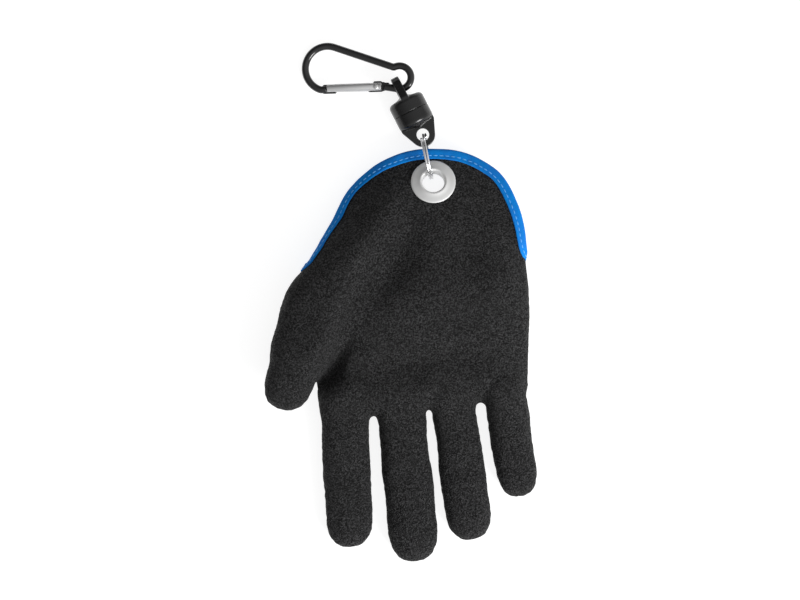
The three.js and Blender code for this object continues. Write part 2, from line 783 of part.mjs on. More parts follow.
/** The bent rod with a flattened lug at each end for the gate. */
function carabinerBody() {
  const rodSides = 8;
  const section = new THREE.Shape(new THREE.EllipseCurve(0, 0, rodRadius, rodRadius, 0, 2 * Math.PI)
    .getPoints(rodSides).slice(0, rodSides));
  const rod = solidOf(new THREE.ExtrudeGeometry(section, {
    steps: 50,
    bevelEnabled: false,
    extrudePath: rodCurve(),
  }));
  const reach = gateLength - gateRivetInset;
  const hingeBarLength = gateRivetInset + hingeLugRoot;
  const hingeLug = new THREE.CylinderGeometry(lugRadius, lugRadius, lugThickness, 16)
    .rotateX(Math.PI / 2);
  const hingeBar = new THREE.BoxGeometry(hingeBarLength, 2 * lugRadius, lugThickness)
    .translate(hingeBarLength / 2, 0, 0);
  const noseBar = new THREE.BoxGeometry(noseLugLength, 2 * lugRadius, lugThickness)
    .translate(noseLugRoot - reach, -(lugRadius - rodRadius), 0);
  const pinHole = rivetHole(4 * rodRadius);
  const frame = gateFrame();
  const body = rod
    .add(placed(hingeLug, frame))
    .add(placed(hingeBar, frame))
    .add(placed(noseBar, frame))
    .subtract(placed(pinHole, frame));
  return meshOf("carabiner_body", transformed(body, carabinerFrame()), blackAluminium);
}

/** The gate: a round bar slotted at both ends for the lugs. */
function carabinerGate() {
  const reach = gateLength - gateRivetInset;
  const slot = lugThickness + 2 * clearance;
  const hingeSlotDepth = gateRivetInset + lugRadius + 2 * clearance;
  const bar = new THREE.CylinderGeometry(gateRadius, gateRadius, gateLength, 14)
    .rotateZ(Math.PI / 2)
    .translate(gateLength / 2 - reach, 0, 0);
  const hingeSlot = new THREE.BoxGeometry(2 * hingeSlotDepth, 4 * gateRadius, slot)
    .translate(gateRivetInset, 0, 0);
  const noseSlot = new THREE.BoxGeometry(2 * gateNoseSlot, 4 * gateRadius, slot)
    .translate(-reach, 0, 0);
  const pinHole = rivetHole(4 * gateRadius);
  const frame = carabinerFrame().multiply(gateFrame());
  const gate = solidOf(bar)
    .subtract(solidOf(hingeSlot))
    .subtract(solidOf(noseSlot))
    .subtract(solidOf(pinHole));
  return meshOf("carabiner_gate", transformed(gate, frame), steelMaterial);
}

/** The rivet: a pin with a low head over each cheek of the gate. */
function gatePin() {
  const half = gateRadius + clearance;
  const profile = [
    [0, -half - pinHeadHeight],
    [pinHeadRadius, -half - pinHeadHeight],
    [pinHeadRadius, -half],
    [pinRadius, -half],
    [pinRadius, half],
    [pinHeadRadius, half],
    [pinHeadRadius, half + pinHeadHeight],
    [0, half + pinHeadHeight],
  ].map(([radius, height]) => new THREE.Vector2(radius, height));
  const spun = new THREE.LatheGeometry(profile, 10).rotateX(Math.PI / 2);
  return meshOf("gate_pin", placed(spun, carabinerFrame().multiply(gateFrame())), steelMaterial);
}

const glove = new THREE.Group();
const halves = clipFrames();
glove.add(
  gloveShell(),
  edgeBinding(),
  eyelet(),
  eyeletWasher(),
  splitRing(),
  clipHalf("clip_lower", halves.lower),
  magnet("magnet_lower", halves.lower),
  clipHalf("clip_upper", halves.upper),
  magnet("magnet_upper", halves.upper),
  carabinerBody(),
  carabinerGate(),
  gatePin(),
);

const box = new THREE.Box3().setFromObject(glove);
const middle = box.getCenter(new THREE.Vector3());
glove.position.set(-middle.x, -middle.y, -box.min.z);

export default glove;
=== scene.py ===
"""Looks of a right-hand fishing glove with its release clip and carabiner, lying palm up.

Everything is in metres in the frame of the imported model: +Z out of the palm, +Y from the fingers
to the carabiner, +X from the thumb to the little finger, and the surface it lies on at Z = 0.
"""

import json
import logging
import math
from contextlib import contextmanager
from dataclasses import dataclass
from enum import Enum
from functools import cache
from typing import Iterator, NamedTuple, Sequence

import bpy
import numpy as np
from mathutils import Matrix, Vector, noise
from mathutils.bvhtree import BVHTree


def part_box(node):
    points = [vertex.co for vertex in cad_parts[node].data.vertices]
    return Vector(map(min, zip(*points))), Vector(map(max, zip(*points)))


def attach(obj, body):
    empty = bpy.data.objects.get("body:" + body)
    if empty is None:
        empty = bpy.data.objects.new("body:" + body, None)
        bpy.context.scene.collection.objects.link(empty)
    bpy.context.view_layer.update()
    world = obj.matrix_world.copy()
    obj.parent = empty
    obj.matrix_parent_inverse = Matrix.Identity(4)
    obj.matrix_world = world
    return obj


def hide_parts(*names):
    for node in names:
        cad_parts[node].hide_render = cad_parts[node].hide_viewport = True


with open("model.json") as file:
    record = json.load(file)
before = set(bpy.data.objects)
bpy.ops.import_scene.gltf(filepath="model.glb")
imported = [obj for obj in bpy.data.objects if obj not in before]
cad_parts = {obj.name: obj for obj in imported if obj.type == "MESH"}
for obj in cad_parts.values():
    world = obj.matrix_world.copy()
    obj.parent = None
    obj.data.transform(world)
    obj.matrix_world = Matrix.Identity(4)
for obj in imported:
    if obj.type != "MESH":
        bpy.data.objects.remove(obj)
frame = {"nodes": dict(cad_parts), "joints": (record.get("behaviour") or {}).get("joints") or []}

MM = 0.001
MERGE = 0.002 * MM  # points nearer than this become one
GLOVE_BODY = "glove"
GATE_BODY = "gate"
LOG = logging.getLogger("fishing_glove")

Socket = bpy.types.NodeSocket
Piece = bpy.types.Object


# Shader groups

class ShaderGraph:
    """A node tree with short ways to add and link nodes."""

    def __init__(self, tree: bpy.types.NodeTree) -> None:
        """Wraps a tree.

        Args:
            tree: The node tree of a material or of a group.
        """
        self.tree = tree

    def add(self, kind: str, settings: dict | None = None, **inputs: object) -> bpy.types.Node:
        """Adds a node and fills its inputs.

        Args:
            kind: The node's type name without its ShaderNode prefix.
            settings: Properties of the node itself.
            **inputs: Its inputs, as for fill.

        Returns:
            The new node.
        """
        node = self.tree.nodes.new(f"ShaderNode{kind}")
        for name, value in (settings or {}).items():
            setattr(node, name, value)
        return self.fill(node, **inputs)

    def fill(self, node: bpy.types.Node, **inputs: object) -> bpy.types.Node:
        """Sets or links inputs of a node.

        Args:
            node: The node.
            **inputs: Values or sockets, by input name with _ for a space, or in0, in1 by place.

        Returns:
            The same node.
        """
        for name, value in inputs.items():
            key: int | str = int(name[2:]) if name[2:].isdigit() else name.replace("_", " ")
            if isinstance(value, Socket):
                self.tree.links.new(value, node.inputs[key])
            else:
                node.inputs[key].default_value = value
        return node

    def group(self, tree: bpy.types.NodeTree, place: Socket, **inputs: float) -> bpy.types.Node:
        """Adds a shared group at a place, with its other inputs by name."""
        return self.add("Group", {"node_tree": tree}, Vector=place, **inputs)

    def noise(self, place: Socket, scale: object, detail: float, **more: float) -> Socket:
        """A noise texture's value, with more of its inputs by name."""
        return self.add("TexNoise", Vector=place, Scale=scale, Detail=detail, **more).outputs["Fac"]

    def maths(self, operation: str, first: object, second: object = 0.0, clamp: bool = False) -> Socket:
        """A Math node's result, from two values or sockets, kept between 0 and 1 by clamp."""
        settings = {"operation": operation, "use_clamp": clamp}
        return self.add("Math", settings, in0=first, in1=second).outputs[0]

    def plus(self, first: object, second: object, share: float) -> Socket:
        """A first value plus a share of a second one."""
        return self.maths("ADD", first, self.maths("MULTIPLY", second, share))

    def ramp(self, value: Socket, low: float, high: float) -> Socket:
        """A smooth step of a value, from 0 at low to 1 at high."""
        return self.add("MapRange", {"interpolation_type": "SMOOTHSTEP"}, Value=value,
                        From_Min=low, From_Max=high).outputs["Result"]

    def blend(self, share: object, first: object, second: object) -> Socket:
        """A mix of two colours, with a share of the second one."""
        return self.add("Mix", {"data_type": "RGBA"}, in0=share, in6=first, in7=second).outputs[2]


class ShaderGroups:
    """Effects that several finishes share, each built once as a node group."""

    @staticmethod
    def start(name: str, inputs: dict[str, float | None],
              *outputs: str) -> tuple[ShaderGraph, bpy.types.Node, bpy.types.Node]:
        """Starts a group with its sockets.

        Args:
            name: The group's name.
            inputs: Default value of each input, or None for a vector.
            *outputs: Names of the float outputs.

        Returns:
            The graph, its input node and its output node.
        """
        tree = bpy.data.node_groups.new(name, "ShaderNodeTree")
        for label, default in inputs.items():
            kind = "NodeSocketVector" if default is None else "NodeSocketFloat"
            socket = tree.interface.new_socket(label, in_out="INPUT", socket_type=kind)
            if default is not None:
                socket.default_value = default
        for label in outputs:
            tree.interface.new_socket(label, in_out="OUTPUT", socket_type="NodeSocketFloat")
        return ShaderGraph(tree), tree.nodes.new("NodeGroupInput"), tree.nodes.new("NodeGroupOutput")

    @staticmethod
    @cache
    def grain() -> bpy.types.NodeTree:
        """Fine uneven grain: a height for bump and a mask for colour and roughness."""
        graph, start, end = ShaderGroups.start(
            "grain", {"Vector": None, "Scale": 900.0, "Stretch": 1.0}, "Height", "Mask")
        place, scale, stretch = start.outputs[:3]
        stretches = graph.add("CombineXYZ", in0=stretch, in1=1.0, in2=1.0).outputs[0]
        placed = graph.add("VectorMath", {"operation": "MULTIPLY"}, in0=place, in1=stretches).outputs[0]
        fine = graph.noise(placed, scale, 4.0, Roughness=0.6)
        broad = graph.noise(placed, graph.maths("MULTIPLY", scale, 0.06), 2.0)
        graph.fill(end, Height=fine, Mask=graph.ramp(broad, 0.38, 0.66))
        return graph.tree

    @staticmethod
    @cache
    def wear() -> bpy.types.NodeTree:
        """Rubbed edges and small scratches, as two masks."""
        graph, start, end = ShaderGroups.start(
            "wear", {"Vector": None, "Amount": 0.5, "Scale": 300.0}, "Edge", "Scratch")
        place, amount, scale = start.outputs[:3]
        edge = graph.ramp(graph.add("NewGeometry").outputs["Pointiness"], 0.52, 0.6)
        patches = graph.ramp(graph.noise(place, scale, 5.0, Roughness=0.65), 0.4, 0.62)
        wear_and_shade = graph.maths("MULTIPLY", graph.maths("MULTIPLY", edge, patches), amount, clamp=True)
        stretched = graph.add("VectorMath", {"operation": "MULTIPLY"}, in0=place,
                              in1=(1.0, 9.0, 3.0)).outputs[0]
        lines = graph.ramp(graph.noise(stretched, scale, 2.0, Distortion=0.6), 0.64, 0.72)
        graph.fill(end, Edge=wear_and_shade, Scratch=graph.maths("MULTIPLY", lines, amount))
        return graph.tree


@dataclass(frozen=True)
class Finish:
    """A finish of one kind of surface; each kind builds its own material.

    Attributes:
        label: The material's name.
        colour: Linear base colour.
        roughness: Mean roughness.
    """

    label: str
    colour: tuple[float, float, float]
    roughness: float

    def material(self) -> bpy.types.Material:
        """Builds the material.

        Returns:
            The material, with its Principled BSDF dressed by the kind's own nodes.
        """
        found = bpy.data.materials.get(self.label)
        if found is not None:
            return found
        material = bpy.data.materials.new(self.label)
        material.use_nodes = True
        material.diffuse_color = (*self.colour, 1.0)
        graph = ShaderGraph(material.node_tree)
        shader = material.node_tree.nodes["Principled BSDF"]
        shader.inputs["Roughness"].default_value = self.roughness
        self.dress(graph, shader)
        return material

    def dress(self, graph: ShaderGraph, shader: bpy.types.Node) -> None:
        """Adds the kind's nodes; each kind has its own.

        Args:
            graph: The material's graph.
            shader: The Principled BSDF.
        """
        raise NotImplementedError

    @staticmethod
    def place(graph: ShaderGraph) -> Socket:
        """Object coordinates, in metres on a piece whose object sits at the origin."""
        return graph.add("TexCoord").outputs["Object"]

    @staticmethod
    def bump(graph: ShaderGraph, shader: bpy.types.Node, height: Socket, depth: float) -> None:
        """Feeds a height from 0 to 1 to the shader's normal, with the depth of 1 in metres."""
        node = graph.add("Bump", Height=height, Strength=1.0, Distance=depth)
        graph.fill(shader, Normal=node.outputs["Normal"])

    def shades(self, factor: float) -> tuple[float, float, float, float]:
        """The base colour made lighter or darker by a factor."""
        return (*(min(1.0, channel * factor) for channel in self.colour), 1.0)


@dataclass(frozen=True)
class CrinkledLatex(Finish):
    """Matt rubber coating wrinkled into a fine net of ridges and pits.

    Attributes:
        cell: Width of one wrinkle.
        relief: Height of the wrinkles.
        specular: Specular level of the shader.
        painted_pit_shade: Painted shade in the pits, as a factor of the base colour.
        crest_highlight: Painted highlight on the crests, as a factor of the base colour.
        creased: Share of the relief that the creases make; the pebbles make the rest.
    """

    cell: float = 1.0 * MM
    relief: float = 0.9 * MM
    specular: float = 0.22
    painted_pit_shade: float = 0.05
    crest_highlight: float = 3.3
    creased: float = 0.38

    def dress(self, graph: ShaderGraph, shader: bpy.types.Node) -> None:
        """Builds pebbles parted by creases, with a painted highlight on the crests and painted shade in the
        pits.
        """
        place = self.place(graph)
        warp = graph.add("TexNoise", Vector=place, Scale=0.5 / self.cell, Detail=2.0).outputs["Color"]
        shift = graph.add("VectorMath", {"operation": "SCALE"}, in0=warp, Scale=1.1 * self.cell)
        warped = graph.add("VectorMath", {"operation": "ADD"}, in0=place, in1=shift.outputs[0])
        fold = graph.noise(warped.outputs[0], 0.62 / self.cell, 1.0)
        crease = graph.maths("ABSOLUTE", graph.maths("SUBTRACT", fold, 0.5))
        pebble = graph.ramp(graph.noise(place, 1.15 / self.cell, 3.0, Roughness=0.62), 0.34, 0.68)
        creases = graph.maths("MULTIPLY", graph.ramp(crease, 0.0, 0.1), self.creased)
        height = graph.plus(creases, pebble, 1.0 - self.creased)
        crest_highlight = graph.ramp(height, 0.22, 0.98)
        grain = graph.group(ShaderGroups.grain(), place, Scale=2.6 / self.cell)
        patches = graph.maths("MULTIPLY", grain.outputs["Mask"], 0.3)
        # Painted light: the crests get a painted highlight and the pits painted shade, following the wrinkle
        # height.
        colour = graph.blend(crest_highlight, self.shades(self.painted_pit_shade), self.shades(self.crest_highlight))
        rough = graph.add("MapRange", Value=crest_highlight, To_Min=min(1.0, self.roughness + 0.16),
                          To_Max=self.roughness - 0.12).outputs["Result"]
        graph.fill(shader, Base_Color=graph.blend(patches, colour, self.shades(1.25)),
                   Roughness=rough, Specular_IOR_Level=self.specular)
        self.bump(graph, shader, height, self.relief)


@dataclass(frozen=True)
class WovenTape(Finish):
    """Woven binding tape: ribs across its length, on the piece's own UV map in metres.

    Attributes:
        rib: Width of one rib.
        shade: Linear colour of painted shade on the tape, laid in random broad patches.
    """

    rib: float = 0.42 * MM
    shade: tuple[float, float, float] = (0.016, 0.09, 0.42)

    def dress(self, graph: ShaderGraph, shader: bpy.types.Node) -> None:
        """Builds crossed ribs and a faint mottle of painted shade."""
        along = graph.add("UVMap", {"uv_map": "tape"}).outputs["UV"]
        ribs = graph.add("TexWave", {"wave_type": "BANDS", "bands_direction": "X"}, Vector=along,
                         Scale=0.314 / self.rib, Distortion=0.8, Detail=1.0).outputs["Fac"]
        threads = graph.add("TexWave", {"wave_type": "BANDS", "bands_direction": "Y"}, Vector=along,
                            Scale=0.22 / self.rib, Distortion=0.5, Detail=1.0).outputs["Fac"]
        weave = graph.plus(graph.maths("MULTIPLY", ribs, 0.6), threads, 0.4)
        grain = graph.group(ShaderGroups.grain(), self.place(graph), Scale=1800.0)
        # Painted shade: a darker, purpler copy of the tape colour, blended in at random broad patches.
        wear_and_shade = graph.maths("MULTIPLY", grain.outputs["Mask"], 0.3)
        colour = graph.blend(weave, self.shades(0.7), self.shades(1.15))
        graph.fill(shader, Base_Color=graph.blend(wear_and_shade, colour, (*self.shade, 1.0)),
                   Sheen_Weight=0.02, Sheen_Roughness=0.5, Specular_IOR_Level=0.08)
        self.bump(graph, shader, graph.plus(weave, grain.outputs["Height"], 0.5), 0.09 * MM)


@dataclass(frozen=True)
class SewnThread(Finish):
    """Twisted polyester thread."""

    def dress(self, graph: ShaderGraph, shader: bpy.types.Node) -> None:
        """Builds the twist from a fine stretched grain."""
        grain = graph.group(ShaderGroups.grain(), self.place(graph), Scale=3200.0, Stretch=2.5)
        height = grain.outputs["Height"]
        graph.fill(shader, Base_Color=graph.blend(height, self.shades(0.75), self.shades(1.2)),
                   Sheen_Weight=0.3)
        self.bump(graph, shader, height, 0.05 * MM)


class Brush(Enum):
    """How a metal is finished, as the grain's stretch, its depth in metres and its scale."""

    SATIN = (1.0, 0.012 * MM, 1500.0)
    DRAWN = (0.12, 0.02 * MM, 1700.0)
    POLISHED = (1.0, 0.004 * MM, 900.0)


@dataclass(frozen=True)
class BareMetal(Finish):
    """Bare or plated metal with rubbed edges and faint scratches.

    Attributes:
        brush: How the surface is finished.
        wear: How much its edges are rubbed.
    """

    brush: Brush = Brush.SATIN
    wear: float = 0.5

    def dress(self, graph: ShaderGraph, shader: bpy.types.Node) -> None:
        """Builds grain, tarnish and scratches."""
        stretch, depth, scale = self.brush.value
        place = self.place(graph)
        grain = graph.group(ShaderGroups.grain(), place, Scale=scale, Stretch=stretch)
        wear = graph.group(ShaderGroups.wear(), place, Amount=self.wear, Scale=420.0)
        dull = graph.maths("MULTIPLY", grain.outputs["Mask"], 0.35)
        colour = graph.blend(dull, self.shades(1.0), self.shades(0.78))
        rough = graph.plus(self.roughness, grain.outputs["Mask"], 0.1)
        graph.fill(shader, Base_Color=graph.blend(wear.outputs["Edge"], colour, self.shades(1.25)),
                   Roughness=graph.plus(rough, wear.outputs["Scratch"], 0.2), Metallic=1.0)
        self.bump(graph, shader, grain.outputs["Height"], depth)


@dataclass(frozen=True)
class CoatedBlack(Finish):
    """Black moulded plastic or black coated metal, half glossy, paler where it is rubbed.

    Attributes:
        grain_scale: Scale of the fine grain.
        grain_depth: Depth of the fine grain.
        wear: How much its edges are rubbed.
        coat: Weight of the clear coat.
    """

    grain_scale: float = 1300.0
    grain_depth: float = 0.03 * MM
    wear: float = 0.6
    coat: float = 0.12

    def dress(self, graph: ShaderGraph, shader: bpy.types.Node) -> None:
        """Builds grain, rubbed edges and scratches."""
        place = self.place(graph)
        grain = graph.group(ShaderGroups.grain(), place, Scale=self.grain_scale)
        wear = graph.group(ShaderGroups.wear(), place, Amount=self.wear, Scale=520.0)
        colour = graph.blend(grain.outputs["Mask"], self.shades(0.85), self.shades(1.35))
        rough = graph.plus(self.roughness - 0.06, grain.outputs["Height"], 0.12)
        graph.fill(shader, Base_Color=graph.blend(wear.outputs["Edge"], colour, self.shades(4.0)),
                   Roughness=graph.plus(rough, wear.outputs["Scratch"], 0.25),
                   Coat_Weight=self.coat, Coat_Roughness=0.14, Specular_IOR_Level=0.3)
        self.bump(graph, shader, grain.outputs["Height"], self.grain_depth)


@dataclass(frozen=True)
class StudioPaper(Finish):
    """Pale paper floor with a faint tooth, lit softly from behind.

    Attributes:
        glow: Strength of the light that comes through it.
    """

    glow: float = 0.84

    def dress(self, graph: ShaderGraph, shader: bpy.types.Node) -> None:
        """Builds a faint mottle."""
        mottle = graph.noise(self.place(graph), 9.0, 3.0)
        graph.fill(shader, Base_Color=graph.blend(mottle, self.shades(0.995), self.shades(1.0)),
                   Specular_IOR_Level=0.0, Emission_Color=(1.0, 1.0, 1.0, 1.0),
                   Emission_Strength=self.glow)


LATEX = CrinkledLatex("latex_black_crinkled", (0.0117, 0.0117, 0.0120), 0.72)
TAPE = WovenTape("binding_tape_blue", (0.003, 0.185, 0.58), 0.85)
THREAD = SewnThread("binding_thread_pale_blue", (0.09, 0.36, 0.74), 0.6)
EYELET_METAL = BareMetal("eyelet_satin_metal", (0.78, 0.78, 0.775), 0.6, Brush.SATIN, 0.3)
RING_STEEL = BareMetal("ring_bright_steel", (0.72, 0.72, 0.73), 0.14, Brush.POLISHED, 0.3)
GATE_METAL = BareMetal("gate_drawn_metal", (0.66, 0.66, 0.66), 0.34, Brush.DRAWN, 0.8)
MAGNET_METAL = BareMetal("magnet_plated", (0.5, 0.5, 0.52), 0.25, Brush.SATIN, 0.3)
CLIP_PLASTIC = CoatedBlack("clip_black_plastic", (0.0042, 0.0042, 0.0044), 0.27, coat=0.22)
ROD_COAT = CoatedBlack("carabiner_black_coat", (0.0062, 0.0062, 0.0066), 0.22,
                       grain_scale=2200.0, grain_depth=0.012 * MM, coat=0.4)
FLOOR = StudioPaper("studio_paper", (0.32, 0.32, 0.32), 0.9)


# Modelling helpers

def pick_none() -> None:
    """Leaves edit mode and deselects everything."""
    if bpy.context.object and bpy.context.object.mode != "OBJECT":
        bpy.ops.object.mode_set(mode="OBJECT")
    bpy.ops.object.select_all(action="DESELECT")


def pick(*pieces: Piece) -> None:
    """Selects only these pieces and makes the first one active."""
    pick_none()
    for piece in pieces:
        piece.select_set(True)
    bpy.context.view_layer.objects.active = pieces[0]


def name_new(name: str) -> Piece:
    """Names the primitive that was just added, and its mesh, and returns it."""
    piece = bpy.context.object
    piece.name = name
    piece.data.name = name
    return piece


def mesh_piece(name: str, points: np.ndarray, faces: Sequence[Sequence[int]]) -> Piece:
    """Makes an object from points and faces.

    Args:
        name: The object's name.
        points: Points, one row each.
        faces: Point numbers of each face.

    Returns:
        The new object, selected and active.
    """
    mesh = bpy.data.meshes.new(name)
    mesh.from_pydata(points.tolist(), [], [list(face) for face in faces])
    mesh.update()
    piece = bpy.data.objects.new(name, mesh)
    bpy.context.collection.objects.link(piece)
    pick(piece)
    return piece


def modify(piece: Piece, kind: str, **settings: object) -> None:
    """Adds a modifier to a piece and applies it.

    Args:
        piece: The piece.
        kind: The modifier's type.
        **settings: The modifier's properties.
    """
    pick(piece)
    modifier = piece.modifiers.new(kind.lower(), kind)
    for name, value in settings.items():
        setattr(modifier, name, value)
    bpy.ops.object.modifier_apply(modifier=modifier.name)


def cut(piece: Piece, tool: Piece, operation: str = "DIFFERENCE") -> None:
    """Cuts a piece with a tool, or joins them, and removes the tool."""
    modify(piece, "BOOLEAN", object=tool, operation=operation, solver="EXACT")
    bpy.data.objects.remove(tool)


@contextmanager
def editing(piece: Piece) -> Iterator[None]:
    """Holds a piece in edit mode, with all of it selected at the start."""
    pick(piece)
    bpy.ops.object.mode_set(mode="EDIT")
    bpy.ops.mesh.select_all(action="SELECT")
    yield
    bpy.ops.object.mode_set(mode="OBJECT")


def face_outwards(piece: Piece) -> None:
    """Makes the faces of a closed body point outwards."""
    with editing(piece):
        bpy.ops.mesh.normals_make_consistent(inside=False)


def settle(piece: Piece) -> None:
    """Merges doubles of a closed body and makes its faces point outwards."""
    with editing(piece):
        bpy.ops.mesh.remove_doubles(threshold=MERGE)
        bpy.ops.mesh.normals_make_consistent(inside=False)


def soften(piece: Piece, voxel: float, passes: int) -> None:
    """Remeshes a piece evenly and smooths it, so that its parts flow together.

    Args:
        piece: The piece.
        voxel: Size of the new mesh's cells.
        passes: How often it is smoothed.
    """
    modify(piece, "REMESH", mode="VOXEL", voxel_size=voxel, adaptivity=0.0)
    modify(piece, "SMOOTH", factor=0.5, iterations=passes)


def put(piece: Piece, place: Matrix) -> None:
    """Moves a piece's mesh by a matrix, so that its object stays at the origin."""
    piece.data.transform(place)
    piece.data.update()


def smooth(piece: Piece, angle: float = 35.0) -> None:
    """Shades a piece smooth up to an angle in degrees."""
    pick(piece)
    bpy.ops.object.shade_smooth_by_angle(angle=math.radians(angle))


def dress(piece: Piece, finish: Finish, slot: str, body: str, *nodes: str) -> Piece:
    """Gives a piece its finish and the body it rides on.

    Args:
        piece: The finished piece.
        finish: Its finish.
        slot: The record's material slot; not used.
        body: The body that it moves with.
        *nodes: CAD nodes that it stands for.

    Returns:
        The same piece.
    """
    piece.data.materials.clear()
    piece.data.materials.append(finish.material())
    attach(piece, body)
    if nodes:
        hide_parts(*nodes)
    LOG.info("%s: %d faces", piece.name, len(piece.data.polygons))
    return piece


def block(name: str, size: tuple[float, float, float], middle: tuple[float, float, float]) -> Piece:
    """A box from its size and the place of its middle."""
    pick_none()
    bpy.ops.mesh.primitive_cube_add(size=1.0)
    piece = name_new(name)
    put(piece, Matrix.Translation(middle) @ Matrix.Diagonal((*size, 1.0)))
    return piece


def drill(radius: float, depth: float, place: Matrix, sides: int = 32) -> Piece:
    """A round cutter along the Z of a frame, with its middle at the frame's origin."""
    pick_none()
    bpy.ops.mesh.primitive_cylinder_add(vertices=sides, radius=radius, depth=depth)
    tool = name_new("drill")
    put(tool, place)
    return tool


def closed_line(name: str, points: np.ndarray) -> Piece:
    """Makes an object of edges through points, from the last one back to the first."""
    count = len(points)
    piece = mesh_piece(name, points, [])
    piece.data.edges.add(count)
    ends = [end for index in range(count) for end in (index, (index + 1) % count)]
    piece.data.edges.foreach_set("vertices", ends)
    return piece


def spun(name: str, profile: Sequence[tuple[float, float]], steps: int) -> Piece:
    """A body turned on +Z from a closed profile, with the spin operator.

    Args:
        name: The piece's name.
        profile: Radius and height of each corner, in order.
        steps: Steps of the spin.

    Returns:
        The new piece, about the origin.
    """
    piece = closed_line(name, np.array([(radius, 0.0, height) for radius, height in profile]))
    with editing(piece):
        bpy.ops.mesh.spin(steps=steps, angle=2 * math.pi, center=(0, 0, 0), axis=(0, 0, 1))
    settle(piece)
    return piece


def rows_of(items: bpy.types.bpy_prop_collection, name: str) -> np.ndarray:
    """A vector property of each item, one row each."""
    flat = np.empty(3 * len(items))
    items.foreach_get(name, flat)
    return flat.reshape(-1, 3)


def points_of(piece: Piece) -> np.ndarray:
    """A piece's points, one row each."""
    return rows_of(piece.data.vertices, "co")


def set_points(piece: Piece, points: np.ndarray) -> None:
    """Moves a piece's points."""
    piece.data.vertices.foreach_set("co", points.ravel())
    piece.data.update()


def normals_of(piece: Piece) -> np.ndarray:
    """A piece's point normals, one row each."""
    return rows_of(piece.data.vertex_normals, "vector")


def node_middle(node: str) -> Vector:
    """Middle of a CAD node's box."""
    low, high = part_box(node)
    return (low + high) / 2


def thin_axis(node: str) -> Vector:
    """The direction across a flat or ring-shaped CAD node, turned to +Z or +X."""
    points = points_of(frame["nodes"][node])
    spread = np.linalg.eigh(np.cov((points - points.mean(axis=0)).T))
    axis = Vector(spread[1][:, 0])
    return axis if axis.z + 0.5 * axis.x > 0 else -axis


def frame_of(origin: Vector, x_axis: Vector, z_axis: Vector) -> Matrix:
    """A frame from its origin, its Z and the direction that its X is nearest to."""
    z = z_axis.normalized()
    y = z.cross(x_axis).normalized()
    x = y.cross(z)
    return Matrix.Translation(origin) @ Matrix((x, y, z)).transposed().to_4x4()


def smooth_step(values: np.ndarray, low: float, high: float) -> np.ndarray:
    """A smooth step from 0 at low to 1 at high."""
    share = np.clip((values - low) / (high - low), 0.0, 1.0)
    return share * share * (3 - 2 * share)


def sweep(start: float, end: float, count: int) -> list[float]:
    """Angles in radians at even steps between two angles in degrees, with both ends."""
    return [math.radians(start + (end - start) * step / count) for step in range(count + 1)]


def curve_through(rows: np.ndarray, stations: np.ndarray, at: np.ndarray) -> np.ndarray:
    """Smooth values between rows, through each of them.

    Args:
        rows: One row of values for each station.
        stations: Where the rows stand, rising.
        at: Where values are wanted.

    Returns:
        One row of values for each wanted place.
    """
    slopes = np.gradient(rows, stations, axis=0)
    index = np.clip(np.searchsorted(stations, at) - 1, 0, len(stations) - 2)
    width = (stations[index + 1] - stations[index])[:, None]
    share = ((at - stations[index]) / width[:, 0])[:, None]
    return ((2 * share**3 - 3 * share**2 + 1) * rows[index]
            + (share**3 - 2 * share**2 + share) * width * slopes[index]
            + (3 * share**2 - 2 * share**3) * rows[index + 1]
            + (share**3 - share**2) * width * slopes[index + 1])


# The soft glove

class HandRow(NamedTuple):
    """A section across the palm or the flap.

    Attributes:
        down: Distance down from the mouth, as a share of the palm's length, or of the flap's
            length where it is negative.
        left: Left edge, as a share of the palm's width.
        right: Right edge, as a share of the palm's width.
        crown: Height, as a share of the palm's depth.
        skew: How far up the right edge is turned, as a share of the palm's length.
        lift: Height under the section, as a share of the folded tape.
    """

    down: float
    left: float
    right: float
    crown: float
    skew: float
    lift: float


class LimbRow(NamedTuple):
    """A section across a finger or the thumb.

    Attributes:
        along: Distance from its start.
        shift: Distance aside from its axis.
        width: Width of the section.
        crown: Height of its top.
        floor: Height of its underside.
    """

    along: float
    shift: float
    width: float
    crown: float
    floor: float


class Finger(NamedTuple):
    """A finger's own sizes, with its root as a share of the palm's width and its lean in degrees."""

    side: float
    length: float
    root: float
    width: float
    lean: float


class Swell(NamedTuple):
    """A soft rise, or a dent where its height is negative, on the palm side.

    Attributes:
        x: Place of its middle, from the middle of the object.
        y: Place of its middle, from the middle of the object.
        turn: Direction of its length in degrees from +X.
        length: Half its length.
        width: Half its width.
        height: Its height.
    """

    x: float
    y: float
    turn: float
    length: float
    width: float
    height: float


class Ripple(NamedTuple):
    """Noise that moves points in and out.

    Attributes:
        scale: Scale of the noise, for each metre.
        height: Its height.
        start: Where in the noise it starts.
    """

    scale: float
    height: float
    start: tuple[float, float, float] = (0.0, 0.0, 0.0)

    def at(self, points: np.ndarray) -> np.ndarray:
        """How far each point moves."""
        start = Vector(self.start)
        return self.height * np.array([noise.noise(Vector(point) * self.scale + start)
                                       for point in points])


